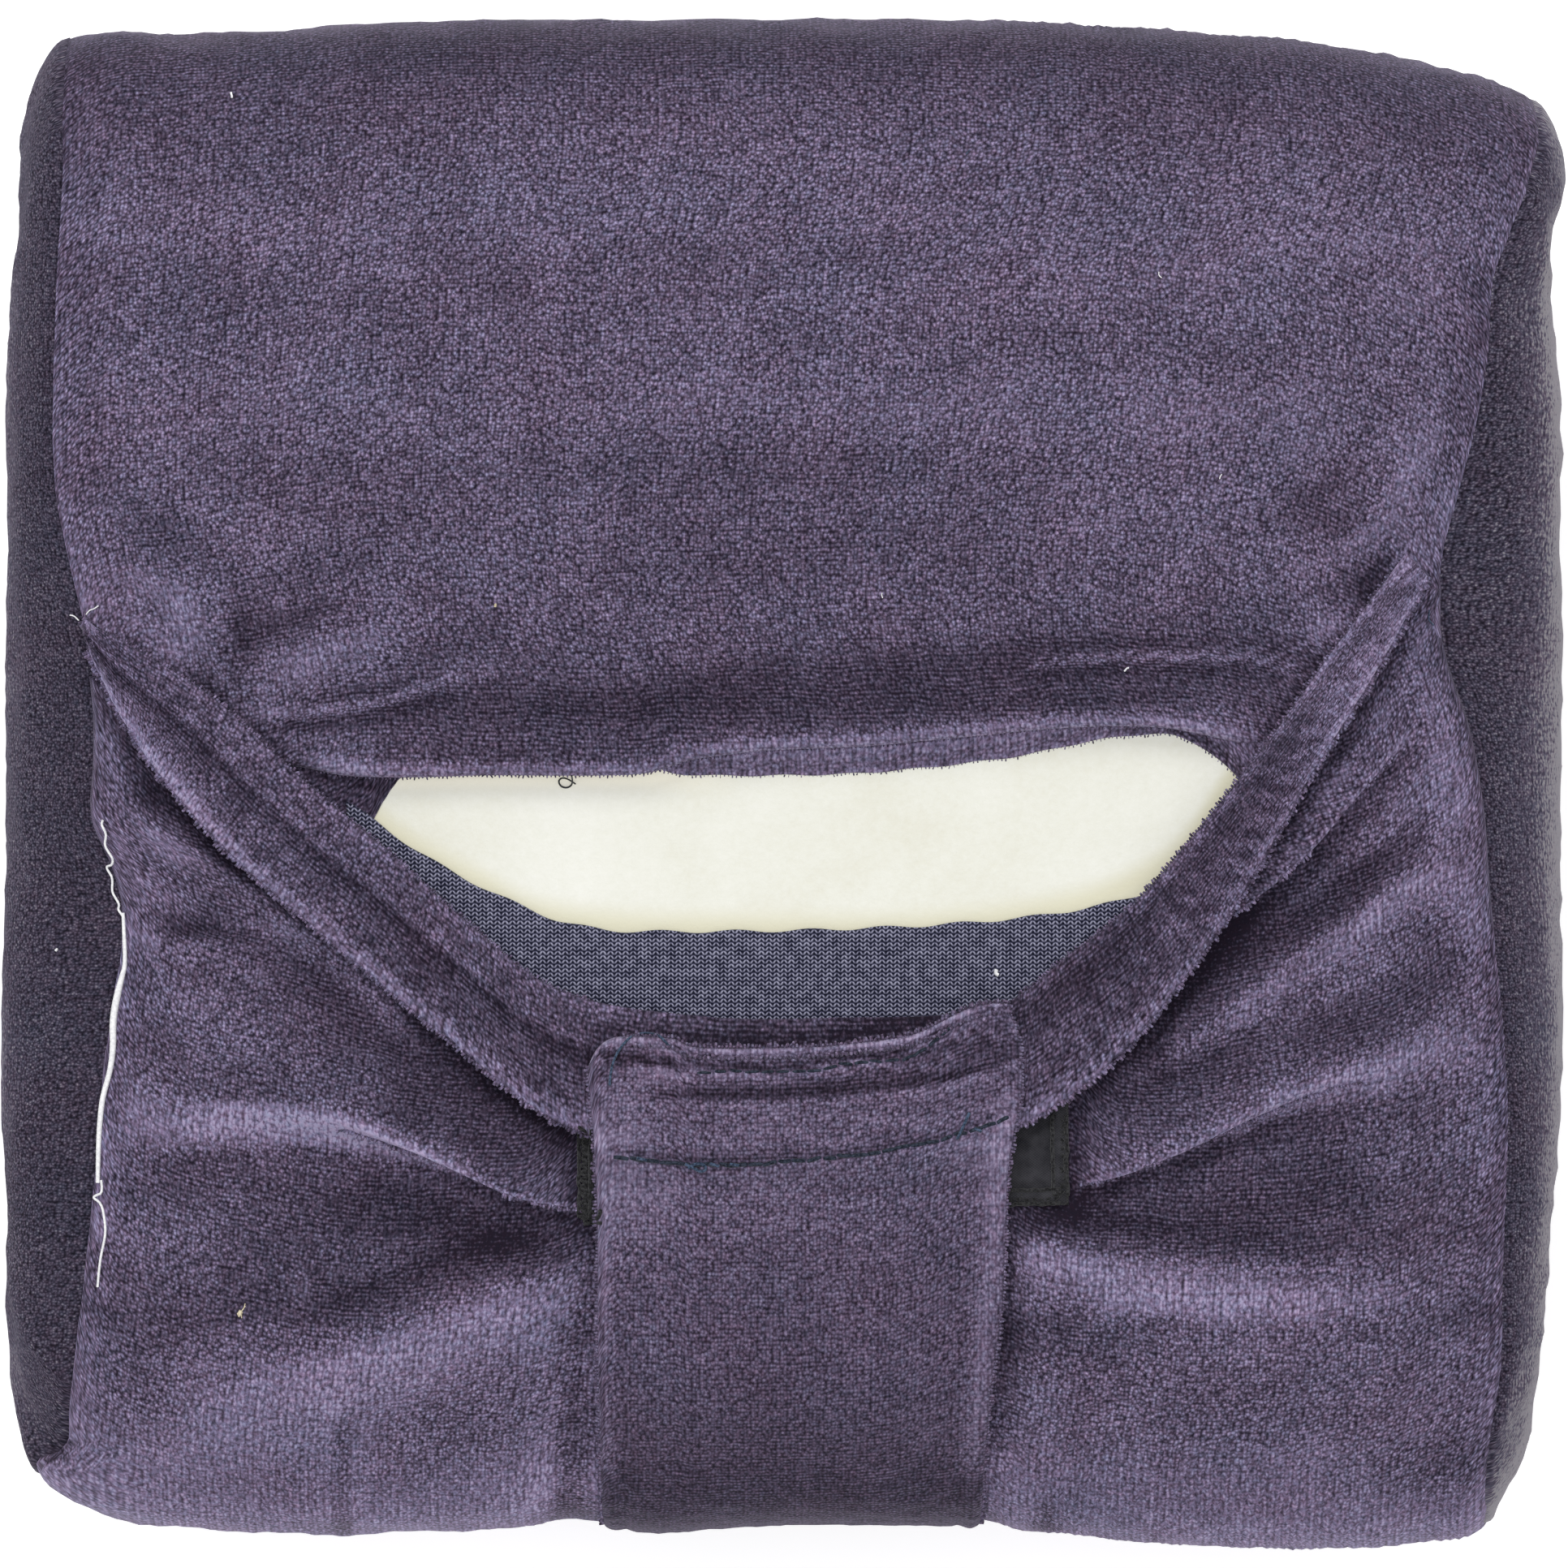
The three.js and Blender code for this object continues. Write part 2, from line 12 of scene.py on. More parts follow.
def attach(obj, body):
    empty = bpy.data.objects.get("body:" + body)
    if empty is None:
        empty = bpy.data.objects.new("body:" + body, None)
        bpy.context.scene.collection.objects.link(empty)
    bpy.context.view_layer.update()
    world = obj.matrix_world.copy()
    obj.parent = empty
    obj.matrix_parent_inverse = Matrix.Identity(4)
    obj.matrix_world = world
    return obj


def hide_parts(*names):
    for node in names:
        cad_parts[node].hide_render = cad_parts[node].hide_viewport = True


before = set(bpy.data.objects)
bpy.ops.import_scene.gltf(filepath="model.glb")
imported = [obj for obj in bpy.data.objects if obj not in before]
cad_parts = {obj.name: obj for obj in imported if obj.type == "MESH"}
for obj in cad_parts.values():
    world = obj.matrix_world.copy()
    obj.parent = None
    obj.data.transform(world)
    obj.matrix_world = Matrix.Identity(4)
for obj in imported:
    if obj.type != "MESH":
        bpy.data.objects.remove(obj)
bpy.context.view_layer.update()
print("frame loaded")

# the pillow's own middle in the frame, and how the photo was taken
table = {"offset": (0.066, -0.335, 0)}
photo = {"pixels": 1932, "mmPerPixel": 0.12, "sharpHeight": 98, "distance": 1500, "sensor": 36}

pillow = {
    "frontHeight": 98, "middleHeight": 48, "backHalf": 52,
    "frontSquareness": 4.5, "backSquareness": 6,
    "saddleDepth": 6, "saddleCentre": -15, "saddleLength": 42,
    "edgeDrop": 5, "edgeDropPower": 5,
    "seams": (-107, 111), "backSeamReach": 110, "seamTurn": (20, 84),
    "cornerWrap": {"y": (99.4, 102.2), "reach": 5.2, "share": 0.06},
    "leftSeam": [(-109, -107.8), (-100, -107.5), (-91, -106.8), (-80, -105.4), (-70, -104.2), (-60, -103.2),
                 (-48, -102.1), (-35, -100.9), (-20, -98.7), (-13, -100), (-5, -103.2), (4, -102.9),
                 (12, -103), (21, -104.1), (34, -107), (44, -108.8), (60, -109), (76, -108.6), (90, -107.9),
                 (100, -108.2)],
    "rightSeam": [(-100, 105.4), (-88, 107.1), (-76, 107.3), (-64, 107.7), (-46, 108.2), (-28, 106.8),
                  (-16, 105.3), (-4, 104.4), (8, 102.2), (18, 98.8), (24, 97.6), (34, 98.4), (44, 100.9),
                  (56, 103.9), (66, 105.3), (75, 106), (80, 107.7), (84, 109.3), (87, 110.6), (91, 111.6),
                  (95, 113.2), (100, 113.5)],
    "leftWidest": [(-106, -112.8), (-103, -114.8), (-100, -115.8), (-93, -116.6), (-78, -117.2),
                   (-41, -117.6), (8, -117.3), (45, -117), (63, -116.4), (72, -116.1), (82, -116.1),
                   (92, -115.4), (98, -115.6)],
    "rightWidest": [(-109, 109.5), (-105, 112), (-100, 113.2), (-93, 113.3), (-81, 114.2), (-71, 115.2),
                    (-60, 116.4), (-41, 116.8), (-25, 117.1), (8, 117.2), (45, 117.1), (63, 116), (73, 115),
                    (82, 116.3), (90, 118.4), (98, 119)],
    "topEnd": [(-106, 113.1), (-99, 113.9), (-92, 113.6), (-80, 113.9), (-68, 114.6), (-56, 115.3),
               (-34, 115.7), (-20, 115.6), (0, 115.7), (36, 115.3), (66, 113.4), (78, 112.4), (86, 111),
               (94, 109.3), (103, 107.3), (108, 105.3), (111, 104)],
    "bottomEnd": [(-107, -104.8), (-104, -107.8), (-101, -109.9), (-98, -111.2), (-95, -112), (-92, -112.4),
                  (-82, -113), (-68, -113.6), (-50, -112.9), (-38, -112.5), (-30, -111.2),
                  (-24, -111.5), (-16, -112.1), (-6, -111.3), (6, -110.8), (18, -110.9), (28, -111.1),
                  (34, -111.5), (40, -112.9), (66, -115.3),
                  (85, -115.7), (94, -115.5), (99, -114.9), (103, -114.5), (107, -114.2), (111, -112)],
}


# small arithmetic
def mix(start, end, share):
    return start + (end - start) * share


def ease(value, start, end):  # 0 before start, 1 past end, smooth between
    share = np.clip((value - start) / (end - start), 0, 1)
    return share * share * (3 - 2 * share)


def within(value, start, end):  # 1 between two places, each given as its own soft stretch
    return ease(value, *start) * (1 - ease(value, *end))


def hill(value, middle, width):  # 1 at the middle, near 0 past the width
    return np.exp(-(((value - middle) / width) ** 2) * 2)


def follow(points, at):  # smooth curve through a short list of (place, value)
    keys, values = np.array(points, float).T
    at = np.clip(at, keys[0], keys[-1])
    row = np.clip(np.searchsorted(keys, at, side="right") - 1, 0, len(keys) - 2)
    slopes = np.gradient(values, keys)
    slopes[1:-1] = (values[2:] - values[:-2]) / (keys[2:] - keys[:-2])
    step = keys[row + 1] - keys[row]
    t = (at - keys[row]) / step
    straight = mix(values[row], values[row + 1], t * t * (3 - 2 * t))
    return straight + slopes[row] * step * t * (1 - t) ** 2 - slopes[row + 1] * step * t * t * (1 - t)


def runLength(points):  # how far each point is along its line
    return np.concatenate([[0], np.linalg.norm(np.diff(points, axis=0), axis=1).cumsum()])


def sampled(points, length, wanted):  # places at the wanted lengths along a line of points
    return np.stack([np.interp(wanted, length, column) for column in points.T], axis=-1)


def inMetres(points):
    return (np.asarray(points, float) + np.array(table["offset"])) / 1000


# the pillow's form: a lengthwise section that is carried across from seam to seam
coverWidth = pillow["seams"][1] - pillow["seams"][0]


def acrossAt(x):  # 0 at the left seam, 1 at the right one
    return (x - pillow["seams"][0]) / coverWidth


def zigzag(place):
    return 2 - np.abs(np.mod(place, 8) - 4)


def squareLoop(turn):  # 0 is the middle of the front, 2 the top end, 4 the back, 6 the bottom end
    return np.clip(zigzag(turn + 2), -1, 1), np.clip(zigzag(turn + 4), -1, 1)


def rounding(v, w, power):  # what a place on the square loop is multiplied by to round the corners
    return (np.abs(v) ** power + np.abs(w) ** power) ** (-1 / power)


def endsAt(across):  # the middle and half the length of the section there
    x = mix(*pillow["seams"], across)
    top = follow(pillow["topEnd"], x)
    bottom = follow(pillow["bottomEnd"], x)
    return (top + bottom) / 2, (top - bottom) / 2


def sectionAt(across, v, w):
    middle, length = endsAt(across)
    reach = rounding(v, w, np.where(w >= 0, pillow["frontSquareness"], pillow["backSquareness"]))
    y = middle + length * v * reach
    drop = pillow["edgeDrop"] * np.abs(2 * across - 1) ** pillow["edgeDropPower"]
    half = np.where(w >= 0, pillow["frontHeight"] - pillow["middleHeight"] - drop, pillow["backHalf"])
    z = pillow["middleHeight"] + half * w * reach
    dip = pillow["saddleDepth"] * np.exp(-(((y - pillow["saddleCentre"]) / pillow["saddleLength"]) ** 2))
    z = z - dip * ease(z, pillow["middleHeight"], pillow["frontHeight"])
    return y, np.maximum(z, 0)


def cornerWrap(y, z):  # how far the strip reaches round the lower left corner
    wrap = pillow["cornerWrap"]
    return wrap["reach"] * ease(-y, *wrap["y"]) * ease(z, *pillow["seamTurn"])


def seamX(side, y, z):
    front = follow(pillow["leftSeam" if side < 0 else "rightSeam"], y)
    x = mix(side * pillow["backSeamReach"], front, ease(z, *pillow["seamTurn"]))
    return x - cornerWrap(y, z) * (side < 0)


def coverPoint(across, turn, lift):  # a point of the cover's outer face, moved out by lift
    across, turn, lift = np.broadcast_arrays(across, turn, lift)
    step = 0.004
    y, z = sectionAt(across, *squareLoop(turn))
    yBefore, zBefore = sectionAt(across, *squareLoop(turn - step))
    yAfter, zAfter = sectionAt(across, *squareLoop(turn + step))
    alongY, alongZ = yAfter - yBefore, zAfter - zBefore
    length = np.hypot(alongY, alongZ)
    x = mix(seamX(-1, y, z), seamX(1, y, z), across)
    x = x + cornerWrap(y, z) * (ease(across, 0, pillow["cornerWrap"]["share"]) - across)
    return np.stack([x, y - alongZ / length * lift, z + alongY / length * lift], axis=-1)


def turnAtY(across, y):  # where the front passes a given y
    middle, length = endsAt(across)
    share = (y - middle) / length
    size = np.clip(np.abs(share), 1e-6, 0.99999)
    power = pillow["frontSquareness"]
    onFace = (size ** power / (1 - size ** power)) ** (1 / power)
    pastCorner = 2 - np.abs(size ** -power - 1) ** (1 / power)
    return np.sign(share) * np.where(onFace <= 1, onFace, pastCorner)


def pointOver(x, turnOf, lift):  # the point of the cover that has this x, with the turn that turnOf gives
    across = acrossAt(x)
    for _ in range(4):
        point = coverPoint(across, turnOf(across), lift)
        across = across + (x - point[..., 0]) / coverWidth
    return coverPoint(across, turnOf(across), lift)


def frontPoint(x, y, lift):  # the point over x and y, for what lies on the front
    x, y, lift = np.broadcast_arrays(*(np.asarray(value, float) for value in (x, y, lift)))
    return pointOver(x, lambda across: turnAtY(across, y), lift)


# the mouth: where the upper front's hem ends, where the lower front ends, and the neck band that edges it
mouth = {
    "hem": [(-103, 3), (-86, 2.8), (-72, 2.6), (-66, 1.6), (-57, 1.3), (-44, 1.6), (-27, 1.6), (-20, 2),
            (-14, 3.8), (-8, 4.7), (-2, 5.3), (12, 5.9), (21, 6.7), (30, 7.5), (37, 8.2), (44, 8.7),
            (52, 8.9), (58, 8.6), (62.5, 7.8), (70, 6), (80, 5), (95, 5)],
    "facing": [(-66, -2), (-61.5, -5), (-54, -10.3), (-45.7, -14.9), (-34.7, -19.8), (-28, -21.4),
               (-22, -21.8), (0, -21.7), (10, -21.4), (20, -21), (30, -20.3), (40, -19.2), (52, -16.7),
               (60, -13)],
    "panel": [(-103, 16), (-83, 0), (-66, -15), (-54, -25), (-40, -36), (-28, -42), (0, -44), (20, -43.5),
              (34, -41), (46, -33), (57, -22), (68, -8), (76, 5), (86, 19), (95, 29)],
    "left": (-74, -62), "right": (60, 74),
}

# folds of the fronts: crest points from left to right, height, width above and below the crest, overhang
folds = {
    "lower": [
        {"crest": [(-98, -46), (-90, -46.4), (-75, -47), (-65, -48.8), (-57.5, -51.4), (-47, -55.4),
                   (-38, -59.2), (-30, -61.8)],
         "height": [(-100, 0.5), (-92, 3), (-75, 4.2), (-50, 4.8), (-38, 4.6), (-33, 2.6), (-30, 1.2),
                    (-27, 0)],
         "above": 13, "below": [(-95, 10), (-70, 6.5), (-55, 3.5), (-40, 2.4), (-30, 2.2)],
         "lean": [(-90, 0), (-70, 0.8), (-55, 2), (-40, 2.6), (-32, 1.2), (-29, 0)]},
        {"crest": [(-90, -97), (-83, -93), (-69.5, -86), (-57.7, -80.5), (-43, -75), (-30, -71.5)],
         "height": [(-98, 0), (-84, 1.6), (-60, 3), (-40, 3.2), (-33, 2.6), (-30, 1.3), (-26, 0)],
         "above": 9, "below": [(-90, 12), (-30, 13)], "lean": [(-90, 0), (-30, 0)]},
        {"crest": [(-97, -3), (-94, -5.5), (-81, -13.5), (-70.5, -21), (-63, -27), (-54, -35)],
         "height": [(-99, 0), (-94, 1.4), (-75, 2), (-62, 1.6), (-53, 0)],
         "above": 5, "below": [(-95, 5), (-55, 4)], "lean": [(-95, 0), (-55, 0.3)]},
        {"crest": [(-98, -22), (-88, -24), (-78, -28), (-66, -37), (-55, -46)],
         "height": [(-99, 0), (-90, 1.8), (-75, 2), (-62, 1.2), (-54, 0)],
         "above": 5, "below": [(-95, 15), (-55, 9)], "lean": [(-95, 0), (-55, 0)]},
        {"crest": [(62, -21.5), (65, -18.5), (69.5, -14.8), (77, -7.6), (83, -0.6), (89, 5), (92, 7.5)],
         "height": [(60, 0), (64, 2), (70, 3), (84, 3), (90, 1.6), (94, 0)],
         "above": 5, "below": [(60, 1.8), (92, 2.2)], "lean": [(60, 1), (70, 2), (85, 1.8), (92, 0)]},
        {"crest": [(58, -37), (62, -34.5), (67.5, -31), (75.5, -25), (84, -18.8), (97, -9.5), (102, -5)],
         "height": [(55, 0), (62, 1.8), (75, 2.4), (92, 2.2), (101, 0)],
         "above": 5.5, "below": [(58, 5), (100, 7)], "lean": [(58, 0.3), (100, 0)]},
        {"crest": [(43, -58.4), (46.5, -57), (56, -53.4), (64, -50), (73, -45.8), (81, -42.5), (89.5, -39),
                   (98, -35.6), (104, -33)],
         "height": [(42.5, 0), (45, 2.5), (50, 4.4), (75, 4.8), (90, 3.6), (99, 1.6), (105, 0.4)],
         "above": 10, "below": [(43, 2.3), (58, 2.4), (75, 4.5), (90, 8), (104, 9)],
         "lean": [(43, 0), (47, 2), (58, 2.4), (74, 1.4), (90, 0.3), (100, 0)]},
        {"crest": [(33, -65.5), (45, -68), (61.5, -70.2), (78.5, -70.8), (102, -69.5)],
         "height": [(31, 0), (34, 1.2), (37, 2.4), (46, 2.8), (62, 1.9), (80, 0.8), (95, 0.3)],
         "above": 5, "below": [(35, 9), (70, 10), (100, 9)], "lean": [(40, 0.6), (70, 0)]},
    ],
    "upper": [
        {"crest": [(-99, 34), (-92, 31), (-86, 25), (-81, 17)],
         "height": [(-102, 0), (-94, 1.2), (-86, 2.2), (-80, 1.2), (-76, 0)],
         "above": 9, "below": [(-100, 6), (-80, 7)], "lean": [(-100, 0), (-80, 0)]},
        {"crest": [(-80, 17), (-75, 19.5), (-68, 22), (-58, 24), (-46, 25)],
         "height": [(-81, 0), (-75, 2), (-66, 2.6), (-56, 1.6), (-44, 0)],
         "above": 5.5, "below": [(-80, 10), (-50, 11)], "lean": [(-80, 0), (-50, 0)]},
        {"crest": [(70, 33), (78, 34), (84, 38), (90, 45), (98, 56)],
         "height": [(64, 0), (76, 1.4), (84, 2.2), (92, 1.6), (100, 0)],
         "above": 10, "below": [(64, 8), (84, 6), (98, 6)], "lean": [(70, 0), (98, 0)]},
        {"crest": [(64, 28), (74, 27), (80, 25.5), (86, 24)],
         "height": [(62, 0), (74, 1), (82, 1.6), (88, 1.2)],
         "above": 8, "below": [(64, 9), (86, 7)], "lean": [(64, 0), (86, 0)]},
    ],
}

# soft unevenness of the fronts: centre, half sizes and height
swells = [
    {"x": -55, "y": 62, "wide": 40, "long": 16, "height": 0.9},
    {"x": 20, "y": 78, "wide": 60, "long": 14, "height": 0.8},
    {"x": 5, "y": 50, "wide": 70, "long": 9, "height": -0.8},
    {"x": -75, "y": 40, "wide": 22, "long": 8, "height": 0.8},
    {"x": 62, "y": 58, "wide": 32, "long": 12, "height": 0.8},
    {"x": 10, "y": 30, "wide": 45, "long": 9, "height": 0.5},
    {"x": 66, "y": -92, "wide": 30, "long": 10, "height": -0.6},
    {"x": -62, "y": -97, "wide": 28, "long": 6, "height": -0.7},
    {"x": 96, "y": -84, "wide": 8, "long": 14, "height": 0.6},
]


def foldRelief(part, x, y):  # how far the folds lift a point, and how far they push it over
    lift, leanX, leanY = np.zeros_like(x), np.zeros_like(x), np.zeros_like(x)
    for fold in folds[part]:
        slope = follow(fold["crest"], x + 0.5) - follow(fold["crest"], x - 0.5)
        size = np.hypot(slope, 1)
        aside = (y - follow(fold["crest"], x)) / size
        below = ease(-aside, follow(fold["below"], x), 0)
        profile = np.where(aside > 0, ease(aside, fold["above"], 0), below)
        lean = np.maximum(follow(fold["lean"], x), 0) * profile ** 2
        lift += np.maximum(follow(fold["height"], x), 0) * profile
        leanX += lean * slope / size
        leanY -= lean / size
    return lift, leanX, leanY


def swellRelief(x, y):
    total = np.zeros_like(x)
    for swell in swells:
        total += swell["height"] * hill(x, swell["x"], swell["wide"]) * hill(y, swell["y"], swell["long"])
    return total


# how the hem stands over the mouth, with the creases above it, and how the lower front lies on its layers
hem = {
    "lift": 2.5, "rise": (14, 1.5), "radius": 2.1, "turnedIn": 4, "foldsShow": (1, 8),
    "creases": [
        {"line": [(-78, 8.6), (-68, 10), (-59, 11.4), (-52, 13.6), (-45, 16.2)], "from": -79, "to": -46},
        {"line": [(34, 16.6), (42, 17.5), (52, 18), (70, 17.4), (79, 15)], "from": 33, "to": 80},
    ],
    "creaseDeep": 0.8, "creaseWide": 0.9, "creaseLip": (1.3, 1.4), "creaseStart": 6, "creaseStop": 8,
}
stack = {"lift": 2.2, "overUpper": (-28, -12), "overFacing": (-100, -80), "nearSeam": (0.8, 0.98),
         "sewn": (0.96, 1), "sewnShare": 0.4}
reliefFrom = (60, 80)  # heights over which folds and layers set in


def upperRelief(x, y):
    above = y - follow(mouth["hem"], x)
    lift = hem["lift"] * within(x, mouth["left"], mouth["right"]) * ease(above, *hem["rise"])
    for crease in hem["creases"]:
        away = y - follow(crease["line"], x)
        first, last = crease["from"], crease["to"]
        there = within(x, (first, first + hem["creaseStart"]), (last - hem["creaseStop"], last))
        form = hill(away, *hem["creaseLip"]) - hill(away, 0, hem["creaseWide"])
        lift += there * hem["creaseDeep"] * form
    foldLift, leanX, leanY = foldRelief("upper", x, y)
    return lift + foldLift * ease(above, *hem["foldsShow"]) + swellRelief(x, y), leanX, leanY


def lowerRelief(x, y, z, across):
    atSeam = np.abs(2 * across - 1)
    onFacing = ease(y, *stack["overFacing"]) * (1 - ease(atSeam, *stack["nearSeam"]))
    stacked = stack["lift"] * np.maximum(ease(y, *stack["overUpper"]), onFacing)
    foldLift, leanX, leanY = foldRelief("lower", x, y)
    front = ease(z, *reliefFrom)
    sewn = mix(1, stack["sewnShare"], ease(atSeam, *stack["sewn"]))
    return (stacked + foldLift + swellRelief(x, y)) * front * sewn, leanX * front, leanY * front


def lumps(x, y, size, seed):  # soft irregular waves of about one size
    chance = np.random.default_rng(seed)
    total = np.zeros(np.broadcast(x, y).shape)
    for _ in range(12):
        angle, phase = chance.uniform(0, 2 * math.pi, 2)
        turns = 2 * math.pi / (size * chance.uniform(0.7, 1.5))
        total += np.sin(turns * (x * math.cos(angle) + y * math.sin(angle)) + phase)
    return total / math.sqrt(6)


def spread(line, pitch):  # points at even steps along a line of points
    points = np.array(line, float)
    length = runLength(points[:, :2])
    return sampled(points, length, np.linspace(0, length[-1], max(2, round(length[-1] / pitch) + 1)))


def shadeAlong(lines, x, y):  # painted shade and light near lines of points, each with its width and its amount
    tone = np.zeros_like(x)
    for line, width, amount in lines:
        nearest = np.full(x.shape, np.inf)
        for px, py in spread(line, min(1.5, width)):
            nearest = np.minimum(nearest, np.hypot(x - px, y - py))
        tone += amount * np.exp(-(nearest / width) ** 2)
    return tone


def paintedPatchTone(patches, x, y):  # painted light and shade in patches, where the pile was brushed up or down by hand and where shade falls
    tone = np.zeros_like(x)
    for px, py, wide, long, turned, amount in patches:
        cosine, sine = math.cos(math.radians(turned)), math.sin(math.radians(turned))
        along = (x - px) * cosine + (y - py) * sine
        aside = (y - py) * cosine - (x - px) * sine
        tone += amount * np.exp(-((along / wide) ** 2 + (aside / long) ** 2))
    return tone


def seamRoll(distance, radius):  # how far an edge sinks where it turns into the seam
    inside = np.clip(radius - distance, 0, radius)
    return radius - np.sqrt(radius ** 2 - inside ** 2)


# objects and meshes
def addObject(name, data):
    made = bpy.data.objects.new(name, data)
    bpy.context.scene.collection.objects.link(made)
    return made


def meshOf(name, bm):
    mesh = bpy.data.meshes.new(name)
    bm.to_mesh(mesh)
    bm.free()
    return mesh


def smooth(mesh):
    mesh.polygons.foreach_set("use_smooth", np.ones(len(mesh.polygons), bool))


def setFlat(mesh, flat):  # the UV map holds the flat cloth in metres
    owner = np.empty(len(mesh.loops), int)
    mesh.loops.foreach_get("vertex_index", owner)
    mesh.uv_layers["cloth"].data.foreach_set("uv", flat[owner].ravel())


def setTone(mesh, attribute, values):
    layer = mesh.attributes.new(attribute, "FLOAT", "POINT")
    layer.data.foreach_set("value", values.astype(np.float32))


def clothGrid(name, places, flat, napShade=None, mirrored=False, rim=None):  # a flat grid moved to its places
    rows, columns = places.shape[0] - 1, places.shape[1] - 1
    bm = bmesh.new()
    bm.loops.layers.uv.new("cloth")
    bmesh.ops.create_grid(bm, x_segments=columns, y_segments=rows, size=1, calc_uvs=True)
    mesh = meshOf(name, bm)
    corner = np.empty(len(mesh.vertices) * 3)
    mesh.vertices.foreach_get("co", corner)
    corner = corner.reshape(-1, 3)
    column = np.rint((corner[:, 0] + 1) / 2 * columns).astype(int)
    row = np.rint((corner[:, 1] + 1) / 2 * rows).astype(int)
    mesh.vertices.foreach_set("co", inMetres(places[row, column]).ravel())
    setFlat(mesh, flat[row, column] / 1000)
    for attribute, values in (("napShade", napShade), ("rim", rim)):
        if values is not None:
            setTone(mesh, attribute, values[row, column])
    smooth(mesh)
    if mirrored:
        mesh.flip_normals()
    mesh.update()
    return addObject(name, mesh)


def lengthAlong(places, axis):  # how far each point is along its row or column, from the middle
    step = np.linalg.norm(np.diff(places, axis=axis), axis=2)
    start = np.zeros_like(np.take(step, [0], axis=axis))
    length = np.concatenate([start, np.cumsum(step, axis=axis)], axis=axis)
    return length - np.take(length, [length.shape[axis] // 2], axis=axis)


def gridNormals(places):
    normal = np.cross(np.gradient(places, axis=1), np.gradient(places, axis=0))
    return normal / np.maximum(np.linalg.norm(normal, axis=2, keepdims=True), 1e-9)


def pileFacingShade(places, pile, strength, mirrored=False):  # painted sheen and shade: how far the surface faces along its pile, 1 light, -1 dark
    normal = gridNormals(places) * (-1 if mirrored else 1)
    return np.tanh(strength * (normal @ np.array(pile, float)))


def valleyShade(places, reach):  # painted shade in valleys and painted light on ridges: negative in valleys and positive on ridges
    height = places[..., 2]
    level = height.copy()
    for axis in (0, 1):
        edges = [(reach, reach) if a == axis else (0, 0) for a in (0, 1)]
        padded = np.pad(level, edges, mode="edge")
        index = np.arange(height.shape[axis])
        level = np.mean([np.take(padded, index + shift, axis=axis) for shift in range(2 * reach + 1)], axis=0)
    return height - level


def addThickness(piece, thickness):
    wall = piece.modifiers.new("cloth thickness", "SOLIDIFY")
    wall.thickness = thickness / 1000
    wall.offset = -1


def closeUp(piece, distance):  # welds a grid that was bent into a closed tube
    bm = bmesh.new()
    bm.from_mesh(piece.data)
    bmesh.ops.remove_doubles(bm, verts=bm.verts, dist=distance)
    bmesh.ops.recalc_face_normals(bm, faces=bm.faces)
    bm.to_mesh(piece.data)
    bm.free()


shownPieces = []  # the cloth and foam that small things can lie on


def finishPiece(piece, material, slot, *nodes):
    piece.data.materials.clear()
    piece.data.materials.append(material)
    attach(piece, "root")
    if slot:
        shownPieces.append(piece.name)
    if nodes:
        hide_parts(*nodes)


# camera, light and floor
def makeCamera():
    camera = addObject("camera", bpy.data.cameras.new("camera"))
    halfWidth = photo["pixels"] * photo["mmPerPixel"] / 2
    camera.data.sensor_width = photo["sensor"]
    camera.data.lens = photo["sensor"] / 2 * photo["distance"] / halfWidth
    camera.location = inMetres((0, 0, photo["sharpHeight"] + photo["distance"]))
    bpy.context.scene.camera = camera


def newMaterial(name, values):
    material = bpy.data.materials.new(name)
    material.use_nodes = True
    shader = material.node_tree.nodes["Principled BSDF"]
    for key, value in values.items():
        shader.inputs[key].default_value = value
    return material, material.node_tree, shader


studio = {
    "world": 0.62,
    "lamps": [
        {"name": "topBox", "at": (-0.25, 0.95, 1.25), "size": 0.7, "power": 9.0},
        {"name": "overhead", "at": (0.1, -0.1, 2.2), "size": 1.2, "power": 10.0},
    ],
    "floor": {"size": 6, "below": 0.0003, "tone": (0.9, 0.9, 0.9, 1), "roughness": 0.9, "glow": 0.5},
}


def makeStudio():
    world = bpy.data.worlds.new("studio")
    world.use_nodes = True
    background = world.node_tree.nodes["Background"]
    background.inputs["Color"].default_value = (1, 1, 1, 1)
    background.inputs["Strength"].default_value = studio["world"]
    bpy.context.scene.world = world
    bpy.context.scene.view_settings.view_transform = "Standard"
    for lamp in studio["lamps"]:
        light = bpy.data.lights.new(lamp["name"], "AREA")
        light.shape = "DISK"
        light.size = lamp["size"]
        light.energy = lamp["power"]
        holder = addObject(lamp["name"], light)
        holder.location = lamp["at"]
        holder.rotation_euler = (-Vector(lamp["at"])).to_track_quat("-Z", "Y").to_euler()
    ground = studio["floor"]
    bm = bmesh.new()
    bmesh.ops.create_grid(bm, x_segments=1, y_segments=1, size=ground["size"] / 2)
    floor = addObject("floor", meshOf("floor", bm))
    floor.location = (0, 0, -ground["below"])
    look = {"Base Color": ground["tone"], "Roughness": ground["roughness"],
            "Emission Color": (1, 1, 1, 1), "Emission Strength": ground["glow"]}
    floor.data.materials.append(newMaterial("pale floor", look)[0])


makeCamera()
makeStudio()
print("camera and studio ready")


# materials
def newNode(tree, kind, inputs=None, **settings):
    made = tree.nodes.new(kind)
    for key, value in settings.items():
        setattr(made, key, value)
    for key, value in (inputs or {}).items():
        if isinstance(value, bpy.types.NodeSocket):
            tree.links.new(value, made.inputs[key])
        else:
            made.inputs[key].default_value = value
    return made


